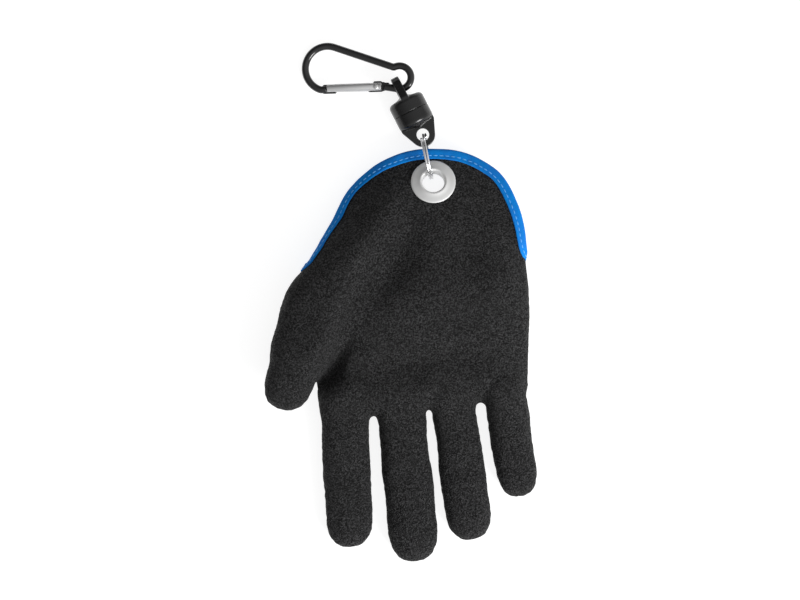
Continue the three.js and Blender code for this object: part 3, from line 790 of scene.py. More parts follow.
@dataclass
class HandForm:
    """The closed outer form of the hand and the flap, before the mouth is cut."""

    palm_width: float = 114.4 * MM
    palm_length: float = 82.0 * MM
    palm_depth: float = 25.0 * MM
    flap_length: float = 60.6 * MM
    finger_depth: float = 15.5 * MM
    finger_reach: float = 26.0 * MM
    thumb_length: float = 122.0 * MM
    thumb_width: float = 34.0 * MM
    thumb_depth: float = 30.0 * MM
    thumb_lean: float = 21.0
    tape_lift: float = 1.2 * MM
    curl_reach: float = 15.0 * MM
    curl_drop: float = 5.5 * MM
    slack: Ripple = Ripple(48.0, 0.75 * MM)
    creases: Ripple = Ripple(150.0, 0.35 * MM, (3.0, 1.0, 7.0))
    pebbles: Ripple = Ripple(420.0, 0.34 * MM)
    edge_slack: float = 0.25
    row_step: float = 3.0 * MM
    sides: int = 48
    tip_rows: int = 12
    roundness: float = 2.4
    tip_roundness: float = 2.5
    voxel: float = 1.2 * MM

    hand_rows: tuple[HandRow, ...] = (
        HandRow(-1.16, -0.430, 0.465, 0.37, 0.00, 1),
        HandRow(-1.00, -0.440, 0.478, 0.42, 0.00, 1),
        HandRow(-0.76, -0.455, 0.500, 0.58, 0.00, 1),
        HandRow(-0.47, -0.490, 0.518, 0.81, 0.00, 1),
        HandRow(-0.20, -0.530, 0.502, 0.955, 0.00, 1),
        HandRow(0.00, -0.553, 0.492, 1.00, 0.00, 1),
        HandRow(0.10, -0.578, 0.500, 1.00, 0.00, 1),
        HandRow(0.22, -0.580, 0.507, 0.99, 0.00, 0),
        HandRow(0.40, -0.570, 0.509, 0.93, 0.00, 0),
        HandRow(0.60, -0.535, 0.507, 0.85, 0.01, 0),
        HandRow(0.80, -0.508, 0.506, 0.76, 0.03, 0),
        HandRow(0.95, -0.499, 0.507, 0.66, 0.11, 0),
        HandRow(1.03, -0.490, 0.499, 0.56, 0.15, 0),
        HandRow(1.07, -0.475, 0.485, 0.42, 0.165, 0),
    )
    fingers: tuple[Finger, ...] = (
        Finger(-0.373, 74.3 * MM, 26.2 * MM, 26.0 * MM, 2.2),
        Finger(-0.106, 82.3 * MM, 26.2 * MM, 27.3 * MM, 5.9),
        Finger(0.149, 71.2 * MM, 23.6 * MM, 25.4 * MM, 7.9),
        Finger(0.405, 47.4 * MM, 23.4 * MM, 22.2 * MM, 8.6),
    )
    thumb_rows: tuple[LimbRow, ...] = (
        LimbRow(0.000, 0.200, 0.60, 0.50, 0.25),
        LimbRow(0.170, 0.140, 0.93, 0.84, 0.16),
        LimbRow(0.344, 0.036, 1.00, 0.95, 0.10),
        LimbRow(0.506, -0.073, 1.09, 1.00, 0.10),
        LimbRow(0.652, -0.063, 1.06, 0.98, 0.15),
        LimbRow(0.770, -0.068, 0.94, 0.94, 0.20),
        LimbRow(0.832, -0.064, 0.80, 0.90, 0.25),
    )
    thumb_tip: tuple[float, float] = (-0.668, 0.986)

    # Swells of the palm side, in millimetres and degrees
    swells: tuple[Swell, ...] = (
        Swell(-20, 29, 60, 30, 8, 3.2),
        Swell(-40, -14, 64, 22, 9, 1.8),
        Swell(-7, 51, 62, 18, 8, 2.2),
        Swell(-4, 18, 60, 24, 10, -5.0),
        Swell(36, 28, 80, 15, 13, -3.8),
        Swell(56, 10, 90, 14, 11, 2.8),
        Swell(12, 5, 0, 26, 18, 1.8),
        Swell(-12.5, -52.5, 60, 9, 9, 2.4),
        Swell(16.5, -49.5, 75, 9, 9, 2.6),
        Swell(48, -42.5, 75, 9, 9, 2.4),
        Swell(8, -32.5, 8, 36, 7, -2.8),
        Swell(-36, -38, 75, 14, 7, -2.2),
        Swell(-34, -33, 61, 16, 4, -4.0),
        Swell(-45, -29, 62, 20, 6, 1.6),
        Swell(-26, -92, 90, 6, 10, -1.2),
        Swell(4, -95, 95, 7, 10, -1.2),
        Swell(33, -92, 97, 6, 10, -1.2),
        Swell(-60, -36, 65, 9, 9, 1.2),
    )

    @property
    def origin(self) -> Vector:
        """Where the middle of the palm meets the mouth's line, found from the CAD shell."""
        low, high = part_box("glove_shell")
        reach = min(float(ring[:, 0].min()) for ring in self.thumb_rings())
        return Vector((low.x - reach, high.y - self.flap_length, 0.0))

    def soft_ring(self, left: np.ndarray, right: np.ndarray, floor: float, crown: float) -> np.ndarray:
        """An upright section between two points in plan, round above and flattened below.

        Args:
            left: Left end in plan.
            right: Right end in plan.
            floor: Lowest height.
            crown: Greatest height.

        Returns:
            The section's points.
        """
        middle_share, sag = 0.42, 1.3
        middle = floor + middle_share * (crown - floor)
        angle = np.arange(self.sides) * 2 * math.pi / self.sides
        bulge = np.sign([np.cos(angle), np.sin(angle)])
        bulge = bulge * np.abs([np.cos(angle), np.sin(angle)]) ** (2 / self.roundness)
        across = 0.5 + 0.5 * bulge[0]
        lower = np.maximum(floor, middle + bulge[1] * sag * (middle - floor))
        height = np.where(bulge[1] > 0, middle + bulge[1] * (crown - middle), lower)
        plan = left[None, :] + across[:, None] * (right - left)[None, :]
        return np.column_stack([plan, height])

    def palm_rings(self) -> list[np.ndarray]:
        """Sections of the palm and the flap, from the flap's end to the finger roots."""
        rows = np.array(self.hand_rows)
        lengths = np.where(rows[:, 0] < 0, self.flap_length, self.palm_length)
        stations = rows[:, 0] * lengths
        count = int((stations[-1] - stations[0]) / self.row_step)
        at = np.linspace(stations[0], stations[-1], count)
        rings = []
        for y, (left, right, crown, skew, lift) in zip(-at, curve_through(rows[:, 1:], stations, at)):
            rings.append(self.soft_ring(
                np.array([left * self.palm_width, y]),
                np.array([right * self.palm_width, y + skew * self.palm_length]),
                max(0.0, lift) * self.tape_lift,
                crown * self.palm_depth,
            ))
        return rings

    def limb_rings(self, start: np.ndarray, lean: float, rows: Sequence[LimbRow],
                   tip_length: float) -> list[np.ndarray]:
        """Sections of a finger or the thumb, with a rounded tip after the last row.

        Args:
            start: Where its axis starts in plan.
            lean: How far it leans towards +X, in radians.
            rows: Its sections.
            tip_length: Length of the rounded tip.

        Returns:
            The sections.
        """
        table = np.array(rows)
        count = max(6, int((table[-1, 0] - table[0, 0]) / self.row_step))
        at = np.linspace(table[0, 0], table[-1, 0], count)
        between = curve_through(table[:, 1:], table[:, 0], at)
        sections = [(place, *values) for place, values in zip(at, between)]
        _, shift, width, crown, floor = table[-1]
        middle = (crown + floor) / 2
        for share in np.sin(np.linspace(0.12, 1.54, self.tip_rows)):
            size = (1 - share ** self.tip_roundness) ** (1 / self.tip_roundness)
            sections.append((table[-1, 0] + share * tip_length, shift, width * size,
                             middle + (crown - middle) * size, middle + (floor - middle) * size))
        along = np.array([math.sin(lean), -math.cos(lean)])
        across = np.array([math.cos(lean), math.sin(lean)])
        rings = []
        for place, aside, width, crown, floor in sections:
            centre = start + along * place + across * aside
            rings.append(self.soft_ring(centre - across * width / 2, centre + across * width / 2,
                                        floor, crown))
        return rings

    def finger_rings(self, finger: Finger) -> list[np.ndarray]:
        """Sections of one finger, from inside the palm to its tip."""
        depth = self.finger_depth
        tip_length = 0.74 * finger.width
        straight = finger.length - tip_length
        stations = ((-1.0, 0.78, 0.85, 0.1), (-0.62, 0.9, 1.2, 0.02), (-0.28, 0.98, 1.24, 0.0))
        rows = [LimbRow(reach * self.finger_reach, 0.0, wide * finger.root, crown * depth, floor * depth)
                for reach, wide, crown, floor in stations]
        for share, crown in ((0.0, 1.1), (0.28, 1.0), (0.62, 0.98), (1.0, 0.94)):
            widening = float(smooth_step(np.array(share * straight / finger.length), 0.0, 0.6))
            width = finger.root + (finger.width - finger.root) * widening
            rows.append(LimbRow(share * straight, 0.0, width, crown * depth, 0.0))
        start = np.array([finger.side * self.palm_width, -self.palm_length])
        return self.limb_rings(start, math.radians(finger.lean), rows, tip_length)

    def thumb_rings(self) -> list[np.ndarray]:
        """Sections of the thumb and of the ball below it."""
        lean = -math.radians(self.thumb_lean)
        tip = np.array([self.thumb_tip[0] * self.palm_width, -self.thumb_tip[1] * self.palm_length])
        start = tip - np.array([math.sin(lean), -math.cos(lean)]) * self.thumb_length
        rows = [LimbRow(row.along * self.thumb_length, row.shift * self.thumb_width,
                        row.width * self.thumb_width, row.crown * self.thumb_depth,
                        row.floor * self.thumb_depth) for row in self.thumb_rows]
        return self.limb_rings(start, lean, rows, self.thumb_length - rows[-1].along)

    def loft(self, name: str, rings: Sequence[np.ndarray]) -> Piece:
        """A closed body through sections with equally many points, placed in the frame."""
        count, sides = len(rings), self.sides
        points = np.vstack(rings) + np.array(self.origin)
        faces: list[Sequence[int]] = []
        for row in range(count - 1):
            for side in range(sides):
                here, beside = row * sides + side, row * sides + (side + 1) % sides
                faces.append((here, beside, beside + sides, here + sides))
        faces.append(range(sides - 1, -1, -1))
        faces.append(range((count - 1) * sides, count * sides))
        body = mesh_piece(name, points, faces)
        settle(body)
        return body

    def height_at(self, points: np.ndarray) -> np.ndarray:
        """How far the swells lift each point.

        Args:
            points: Points of the form.

        Returns:
            The lift of each point, in metres.
        """
        lift = np.zeros(len(points))
        for swell in self.swells:
            turn = math.radians(swell.turn)
            away = points[:, :2] - np.array([swell.x, swell.y]) * MM
            along = (away @ [math.cos(turn), math.sin(turn)]) / (swell.length * MM)
            aside = (away @ [-math.sin(turn), math.cos(turn)]) / (swell.width * MM)
            lift += swell.height * MM * np.exp(-(along**2 + aside**2))
        return lift

    def curl_at(self, points: np.ndarray, edge: np.ndarray) -> np.ndarray:
        """How far the flap's edge on the thumb's side curls down at each point.

        Args:
            points: Points of the form.
            edge: Their distance to the outline in plan, negative inside it.

        Returns:
            The drop of each point, in metres.
        """
        local = points - np.array(self.origin)
        aside = smooth_step(-local[:, 0], 0.1 * self.palm_width, 0.4 * self.palm_width)
        aside *= smooth_step(local[:, 1], 0.02 * self.flap_length, 0.4 * self.flap_length)
        near = np.clip(1.0 + edge / self.curl_reach, 0.0, 1.6) ** 2
        return aside * near * self.curl_drop

    def build(self) -> Piece:
        """Joins the lofts into one soft skin and shapes it.

        Returns:
            The closed form.
        """
        bodies = [self.loft("palm", self.palm_rings()), self.loft("thumb", self.thumb_rings())]
        bodies += [self.loft(f"finger_{number}", self.finger_rings(finger))
                   for number, finger in enumerate(self.fingers)]
        pick(*bodies)
        bpy.ops.object.join()
        form = name_new("hand_form")
        soften(form, self.voxel, 14)
        points, normals = points_of(form), normals_of(form)
        edge = Trim(self).plan_distance(points)
        upper = smooth_step(normals[:, 2], 0.05, 0.75)
        calm = smooth_step(-edge, 1.0 * MM, 14.0 * MM)
        points[:, 2] += upper * calm * self.height_at(points)
        points[:, 2] -= upper * self.curl_at(points, edge)
        above = smooth_step(points[:, 2], 0.4 * MM, 3.0 * MM)
        inside = smooth_step(-edge, 3.0 * MM, 12.0 * MM)
        loose = self.edge_slack + (1.0 - self.edge_slack) * inside
        shift = loose * (self.slack.at(points) + self.creases.at(points)) + self.pebbles.at(points)
        set_points(form, points + normals * (above * shift)[:, None])
        return form


@dataclass
class Trim:
    """The edge of the flap and of the mouth, as a distance that is negative on the kept side."""

    form: HandForm
    steps: int = 240
    outline: tuple[tuple[float, float], ...] = (
        (-0.548, -0.03), (-0.506, 0.1), (-0.471, 0.22), (-0.422, 0.38), (-0.350, 0.64),
        (-0.221, 0.86), (-0.08, 0.973), (0.04, 1.0), (0.18, 0.975), (0.298, 0.877),
        (0.38, 0.744), (0.442, 0.517), (0.473, 0.318), (0.484, 0.16), (0.5, -0.02),
    )
    mouth: tuple[tuple[float, float], ...] = (
        (0.0, 0.07), (0.03, 0.16), (0.08, 0.3), (0.14, 0.43), (0.26, 0.46), (0.38, 0.44),
        (0.5, 0.39), (0.7, 0.31), (1.0, 0.26), (1.4, 0.25),
    )

    @staticmethod
    def away(points: np.ndarray, line: np.ndarray, closing: Sequence[tuple[float, float]]) -> np.ndarray:
        """Distance of points to a line, negative inside the shape that the line closes.

        Args:
            points: Points in a plane.
            line: Points of the line.
            closing: Corners that close the shape after the line's end.

        Returns:
            The distance of each point.
        """
        nearest = np.full(len(points), np.inf)
        for first, second in zip(line[:-1], line[1:]):
            span = second - first
            share = np.clip(((points - first) @ span) / (span @ span), 0.0, 1.0)
            nearest = np.minimum(nearest, np.linalg.norm(points - first - share[:, None] * span, axis=1))
        corners = np.vstack([line, np.array(closing)])
        inside = np.zeros(len(points), dtype=bool)
        for first, second in zip(corners, np.roll(corners, -1, axis=0)):
            crosses = (first[1] > points[:, 1]) != (second[1] > points[:, 1])
            rise = second[1] - first[1]
            reach = first[0] + (points[:, 1] - first[1]) * (second[0] - first[0]) / (rise or 1.0)
            inside ^= crosses & (points[:, 0] < reach)
        return np.where(inside, -nearest, nearest)

    def plan_distance(self, points: np.ndarray) -> np.ndarray:
        """Distance of points to the flap's outline seen from above, negative inside it."""
        form, far = self.form, 1.0
        local = points - np.array(form.origin)
        rows = np.array(self.outline) * [form.palm_width, form.flap_length]
        stations = np.arange(len(rows), dtype=float)
        line = curve_through(rows, stations, np.linspace(0.0, len(rows) - 1.0, self.steps))
        return self.away(local[:, :2], line,
                         [(far, line[-1, 1]), (far, -far), (-far, -far), (-far, line[0, 1])])

    def distance(self, points: np.ndarray) -> np.ndarray:
        """Distance of points to the edge, negative on the kept side."""
        form, far = self.form, 1.0
        local = points - np.array(form.origin)
        side = np.array(self.mouth) * [form.flap_length, form.palm_depth]
        mouth = self.away(local[:, 1:], side, [(side[-1, 0], -far), (side[0, 0], -far)])
        return np.maximum(self.plan_distance(points), -mouth)


@dataclass
class GloveSkin:
    """The dipped glove: one hollow soft wall, open at the mouth, with a hole for the eyelet."""

    form: HandForm
    trim: Trim
    wall: float = 1.8 * MM
    eyelet_hole: float = 7.1 * MM
    eyelet_reach: float = 6.0 * MM

    def build(self, closed: Piece) -> Piece:
        """Cuts the closed form at its edge and gives it its wall.

        Args:
            closed: The closed form; it is used up.

        Returns:
            The dressed skin.
        """
        closed.name = closed.data.name = "glove_skin"
        points = points_of(closed)
        axis = np.array(thin_axis("eyelet_washer"))
        away = points - np.array(node_middle("eyelet_washer"))
        height = away @ axis
        around = np.linalg.norm(away - height[:, None] * axis, axis=1)
        hole = (around < self.eyelet_hole) & (np.abs(height) < self.eyelet_reach)
        pick(closed)
        bpy.context.tool_settings.mesh_select_mode = (True, False, False)
        closed.data.vertices.foreach_set("select", (self.trim.distance(points) > 0.0) | hole)
        bpy.ops.object.mode_set(mode="EDIT")
        bpy.ops.mesh.delete(type="VERT")
        bpy.ops.object.mode_set(mode="OBJECT")
        modify(closed, "SOLIDIFY", thickness=self.wall, offset=-1.0)
        smooth(closed, 60.0)
        return dress(closed, LATEX, "latex", GLOVE_BODY, "glove_shell")


@dataclass
class EdgeTape:
    """The tape folded round the edge of the flap and the mouth, with its row of stitches."""

    form: HandForm
    trim: Trim
    wall: float = 1.8 * MM
    leg: float = 5.0 * MM
    thickness: float = 0.75 * MM
    gap: float = 0.18 * MM
    step: float = 1.1 * MM
    stitch_pitch: float = 3.2 * MM
    stitch_length: float = 2.3 * MM
    stitch_radius: float = 0.27 * MM
    stitch_inset: float = 2.9 * MM
    stitch_sink: float = 0.22 * MM
    tracks_count: int = 6
    ripple: Ripple = Ripple(260.0, 0.16 * MM)

    def edge_loop(self, closed: Piece) -> np.ndarray:
        """The line on the form where its distance to the trim is nought, evenly spaced.

        Args:
            closed: The closed form.

        Returns:
            Points of the loop, in order.
        """
        points = points_of(closed)
        beyond = self.trim.distance(points)
        closed.data.calc_loop_triangles()
        flat = np.empty(3 * len(closed.data.loop_triangles), dtype=np.int64)
        closed.data.loop_triangles.foreach_get("vertices", flat)
        triangles = flat.reshape(-1, 3)
        outside = beyond[triangles] > 0
        crossed = triangles[outside.any(axis=1) & ~outside.all(axis=1)]
        links: dict[tuple[int, int], list[tuple[int, int]]] = {}
        for corners in crossed.tolist():
            keys = [tuple(sorted(pair)) for pair in zip(corners, corners[1:] + corners[:1])
                    if (beyond[pair[0]] > 0) != (beyond[pair[1]] > 0)]
            links.setdefault(keys[0], []).append(keys[1])
            links.setdefault(keys[1], []).append(keys[0])
        loops: list[list[tuple[int, int]]] = []
        left = set(links)
        while left:
            key = next(iter(sorted(left)))
            loop = []
            while key is not None:
                loop.append(key)
                left.discard(key)
                key = next((other for other in links[key] if other in left), None)
            loops.append(loop)
        longest = np.array(max(loops, key=len))
        first, second = beyond[longest[:, 0]], beyond[longest[:, 1]]
        share = (first / (first - second))[:, None]
        line = points[longest[:, 0]] * (1 - share) + points[longest[:, 1]] * share
        return self.even(self.calm(line, 6), self.step)

    @staticmethod
    def calm(loop: np.ndarray, passes: int) -> np.ndarray:
        """Smooths a closed loop by averaging neighbours."""
        for _ in range(passes):
            loop = (np.roll(loop, 1, axis=0) + 2 * loop + np.roll(loop, -1, axis=0)) / 4
        return loop

    @staticmethod
    def even(loop: np.ndarray, step: float) -> np.ndarray:
        """Spaces a closed loop evenly."""
        ring = np.vstack([loop, loop[:1]])
        lengths = np.concatenate([[0.0], np.cumsum(np.linalg.norm(np.diff(ring, axis=0), axis=1))])
        count = int(lengths[-1] / step)
        at = np.arange(count) * lengths[-1] / count
        return np.column_stack([np.interp(at, lengths, ring[:, axis]) for axis in range(3)])

    def tracks(self, closed: Piece) -> tuple[np.ndarray, np.ndarray, np.ndarray]:
        """Lines on the form beside the edge, from the edge into the glove.

        Args:
            closed: The closed form.

        Returns:
            Distances of the lines from the edge, their points and the outward normals there.
        """
        pick(closed)
        tree = BVHTree.FromObject(closed, bpy.context.evaluated_depsgraph_get())
        loop = self.edge_loop(closed)
        depths = np.linspace(0.0, self.leg, self.tracks_count)
        places = np.empty((len(depths), len(loop), 3))
        normals = np.empty_like(places)
        tangents = np.roll(loop, -1, axis=0) - np.roll(loop, 1, axis=0)
        for index, point in enumerate(loop):
            place, normal, _, _ = tree.find_nearest(Vector(point))
            inward = normal.cross(Vector(tangents[index])).normalized()
            probe = np.array([place + inward * MM, place - inward * MM])
            beyond = self.trim.distance(probe)
            if beyond[0] > beyond[1]:
                inward = -inward
            for row, depth in enumerate(depths):
                if row:
                    ahead = place + inward * (depth - depths[row - 1])
                    reached, normal, _, _ = tree.find_nearest(ahead)
                    inward = (reached - place).normalized()
                    place = reached
                places[row, index], normals[row, index] = place, normal
        for row in range(len(depths)):
            places[row] = self.calm(places[row], 3)
            normals[row] = self.calm(normals[row], 5)
        normals /= np.linalg.norm(normals, axis=2, keepdims=True)
        return depths, places, normals

    def section(self, places: np.ndarray, normals: np.ndarray) -> tuple[np.ndarray, np.ndarray]:
        """The folded section at every point of the loop.

        Args:
            places: Points of the lines on the form, from the edge inwards.
            normals: Outward normals there.

        Returns:
            Points of the section's lines, and their distance round the section.
        """
        outer, under = self.gap + self.thickness, -self.wall - self.gap
        edge_out = places[0] - places[1]
        edge_out /= np.linalg.norm(edge_out, axis=1, keepdims=True)
        last, tuck = len(places) - 1, 0.3 * self.thickness
        seam = int(round(self.stitch_inset / self.leg * last))
        top = {last: outer - tuck, seam: outer - self.stitch_sink}
        below = {last: under - self.thickness + tuck}
        lines = [places[row] + normals[row] * top.get(row, outer) for row in range(last, -1, -1)]
        middle, reach, fold = -self.wall / 2, self.wall / 2 + outer, 0.35 * self.wall
        for angle in np.radians([60, 30, 0, -30, -60]):
            lines.append(places[0] + normals[0] * (middle + reach * math.sin(angle))
                         + edge_out * (fold + self.thickness) * math.cos(angle))
        lines += [places[row] + normals[row] * below.get(row, under - self.thickness)
                  for row in range(last + 1)]
        lines += [places[row] + normals[row] * under for row in range(last, -1, -1)]
        lines.append(places[0] + normals[0] * middle + edge_out * fold)
        lines += [places[row] + normals[row] * self.gap for row in range(last + 1)]
        points = np.array(lines)
        spans = np.linalg.norm(np.diff(points, axis=0), axis=2).mean(axis=1)
        return points, np.concatenate([[0.0], np.cumsum(spans)])

    def build(self, closed: Piece) -> list[Piece]:
        """Makes the tape and its stitches.

        Args:
            closed: The closed form, before the skin uses it.

        Returns:
            The dressed tape and stitches.
        """
        depths, places, normals = self.tracks(closed)
        ripple = self.ripple.at(places[0])
        points, across = self.section(places + normals * ripple[None, :, None], normals)
        rows, count = points.shape[:2]
        faces = [(row * count + here, ((row + 1) % rows) * count + here,
                  ((row + 1) % rows) * count + (here + 1) % count, row * count + (here + 1) % count)
                 for row in range(rows) for here in range(count)]
        tape = mesh_piece("edge_tape", points.reshape(-1, 3), faces)
        self.unwrap(tape, across, count)
        face_outwards(tape)
        modify(tape, "SUBSURF", levels=1, render_levels=1)
        smooth(tape, 60.0)
        dress(tape, TAPE, "binding", GLOVE_BODY, "edge_binding")
        stitches = self.stitch(depths, places, normals)
        return [tape, dress(stitches, THREAD, "binding", GLOVE_BODY)]

    def unwrap(self, tape: Piece, across: np.ndarray, count: int) -> None:
        """Writes the tape's UV map in metres: U along the edge and V round the section."""
        layer = tape.data.uv_layers.new(name="tape")
        rows = len(across)
        close = across[-1] + self.thickness
        for polygon in tape.data.polygons:
            corners = [divmod(vertex, count) for vertex in polygon.vertices]
            at_rows, at_places = zip(*corners)
            last_row = rows - 1 in at_rows and 0 in at_rows
            last_place = count - 1 in at_places and 0 in at_places
            for loop, (row, place) in zip(polygon.loop_indices, corners):
                along = (count if last_place and place == 0 else place) * self.step
                layer.data[loop].uv = (along, close if last_row and row == 0 else across[row])

    def stitch(self, depths: np.ndarray, places: np.ndarray, normals: np.ndarray) -> Piece:
        """Makes the row of stitches on the tape's outer leg as one joined mesh.

        Args:
            depths: Distances of the lines from the edge.
            places: Points of the lines on the form.
            normals: Outward normals there.

        Returns:
            The stitches.
        """
        row = int(np.searchsorted(depths, self.stitch_inset)) - 1
        share = (self.stitch_inset - depths[row]) / (depths[row + 1] - depths[row])
        track = places[row] * (1 - share) + places[row + 1] * share
        lift = normals[row] * (1 - share) + normals[row + 1] * share
        track = track + lift * (self.gap + self.thickness - 0.5 * self.stitch_sink)
        even = self.even(track, self.stitch_pitch)
        nearest = [int(np.argmin(np.linalg.norm(track - point, axis=1))) for point in even]
        ups = lift[nearest]
        ahead = np.roll(even, -1, axis=0) - np.roll(even, 1, axis=0)
        bpy.ops.mesh.primitive_uv_sphere_add(segments=8, ring_count=6, radius=self.stitch_radius)
        bead = name_new("stitch_bead")
        bpy.ops.transform.resize(value=(self.stitch_length / (2 * self.stitch_radius), 1.0, 0.85))
        bpy.ops.object.transform_apply(location=False, rotation=False, scale=True)
        template = points_of(bead)
        outline = [tuple(polygon.vertices) for polygon in bead.data.polygons]
        bpy.data.objects.remove(bead)
        points, faces = [], []
        for place, up, along in zip(even, ups, ahead):
            turn = frame_of(Vector(place), Vector(along), Vector(up)).to_3x3()
            start = len(points) * len(template)
            faces += [[start + corner for corner in face] for face in outline]
            points.append(template @ np.array(turn).T + place)
        stitches = mesh_piece("edge_stitches", np.vstack(points), faces)
        smooth(stitches, 80.0)
        return stitches


# The hard pieces

@dataclass
class Eyelet:
    """Two-part metal eyelet: the flange with its rolled throat and the washer behind the flap."""

    radius: float = 12.2 * MM
    bore: float = 6.1 * MM
    barrel: float = 0.8 * MM
    height: float = 1.0 * MM
    roll: float = 0.75 * MM
    washer_radius: float = 11.6 * MM
    washer_thickness: float = 0.9 * MM
    wall: float = 1.8 * MM
    gap: float = 0.3 * MM
    steps: int = 96

    @property
    def place(self) -> Matrix:
        """Frame of the eyelet: its origin on the flap's outer face, its Z out of it."""
        axis = thin_axis("eyelet_washer")
        depth = self.wall + 2 * self.gap + self.washer_thickness / 2
        return frame_of(node_middle("eyelet_washer") + axis * depth, Vector((1, 0, 0)), axis)

    def arc(self, centre: tuple[float, float], radius: float, start: float, end: float,
            count: int) -> list[tuple[float, float]]:
        """Corners of an arc of the profile, with its angles in degrees."""
        return [(centre[0] + radius * math.cos(angle), centre[1] + radius * math.sin(angle))
                for angle in sweep(start, end, count)]

    def flange(self) -> Piece:
        """Spins the flange, the barrel and the lip that is rolled over the washer."""
        wall, under, top = self.bore + self.barrel, self.gap, self.gap + self.height
        lip = -(self.wall + self.washer_thickness + 3 * self.gap)
        throat = self.roll + 0.35 * MM
        profile = [(self.bore, lip - 0.3 * MM)]
        profile += self.arc((wall + 0.35 * MM, lip - 0.25 * MM), 1.0 * MM, 215, 360, 8)
        profile += [(wall + 1.3 * MM, lip), (wall, lip), (wall, under), (self.radius - 0.15 * MM, under)]
        profile += self.arc((self.radius - 0.3 * MM, under + 0.3 * MM), 0.3 * MM, -60, 80, 5)
        profile += [(self.radius - 1.3 * MM, top - 0.12 * MM), (self.radius - 2.6 * MM, top)]
        profile += self.arc((self.bore + throat, top - 0.35 * MM), throat, 62, 180, 9)
        piece = spun("eyelet_flange", profile, self.steps)
        put(piece, self.place)
        smooth(piece, 40.0)
        return dress(piece, EYELET_METAL, "eyelet_metal", GLOVE_BODY, "eyelet")

    def washer(self) -> Piece:
        """Spins the washer with its rounded rim."""
        hole, top = self.bore + self.barrel + self.gap, -(self.wall + 2 * self.gap)
        low, bevel = top - self.washer_thickness, 0.2 * MM
        profile = [(hole, top - bevel), (hole, low + bevel), (hole + bevel, low)]
        profile += [(self.washer_radius - 2 * bevel, low)]
        profile += self.arc((self.washer_radius - 2 * bevel, low + 2 * bevel), 2 * bevel, -60, 0, 4)
        profile += [(self.washer_radius, top - bevel), (self.washer_radius - bevel, top), (hole + bevel, top)]
        piece = spun("eyelet_backing", profile, self.steps)
        put(piece, self.place)
        smooth(piece, 40.0)
        return dress(piece, EYELET_METAL, "eyelet_metal", GLOVE_BODY, "eyelet_washer")

    def build(self) -> list[Piece]:
        """Makes both parts."""
        return [self.flange(), self.washer()]


@dataclass
class SplitRing:
    """Two turns of flat-sided wire, with its ends dressed down."""

    radius: float = 12.1 * MM
    wire_depth: float = 1.5 * MM
    wire_width: float = 1.2 * MM
    pitch: float = 1.32 * MM
    turns: int = 2
    sides: int = 12
    flatness: float = 0.8
    end_bevel: float = 0.18 * MM
    steps: int = 88
    start: float = 36.0

    def build(self) -> Piece:
        """Draws the wire's section and turns it with the screw modifier.

        Returns:
            The dressed ring.
        """
        angles = np.arange(self.sides) * 2 * math.pi / self.sides
        round_section = np.array([np.cos(angles), np.sin(angles)])
        bulge = np.abs(round_section) ** self.flatness * np.sign(round_section)
        section = np.column_stack([self.radius + bulge[0] * self.wire_depth / 2, np.zeros(self.sides),
                                   bulge[1] * self.wire_width / 2])
        ring = closed_line("split_ring_wire", section)
        modify(ring, "SCREW", angle=self.turns * 2 * math.pi, screw_offset=self.turns * self.pitch,
               axis="Z", steps=self.turns * self.steps, render_steps=self.turns * self.steps,
               use_smooth_shade=True)
        self.finish_ends(ring)
        points = points_of(ring)
        points[:, 2] -= self.turns * self.pitch / 2
        set_points(ring, points)
        axis = thin_axis("split_ring")
        towards = axis.cross(Vector((0, 0, 1))).normalized()
        put(ring, frame_of(node_middle("split_ring"), -towards, axis) @ Matrix.Rotation(
            math.radians(self.start), 4, "Z"))
        settle(ring)
        smooth(ring, 50.0)
        return dress(ring, RING_STEEL, "ring_steel", GLOVE_BODY, "split_ring")

    def finish_ends(self, ring: Piece) -> None:
        """Closes both ends of the wire and rounds their rims."""
        with editing(ring):
            bpy.ops.mesh.select_mode(type="EDGE")
            bpy.ops.mesh.select_all(action="DESELECT")
            bpy.ops.mesh.select_non_manifold(extend=False)
            bpy.ops.mesh.edge_face_add()
            bpy.ops.mesh.bevel(offset=self.end_bevel, segments=2, affect="EDGES")


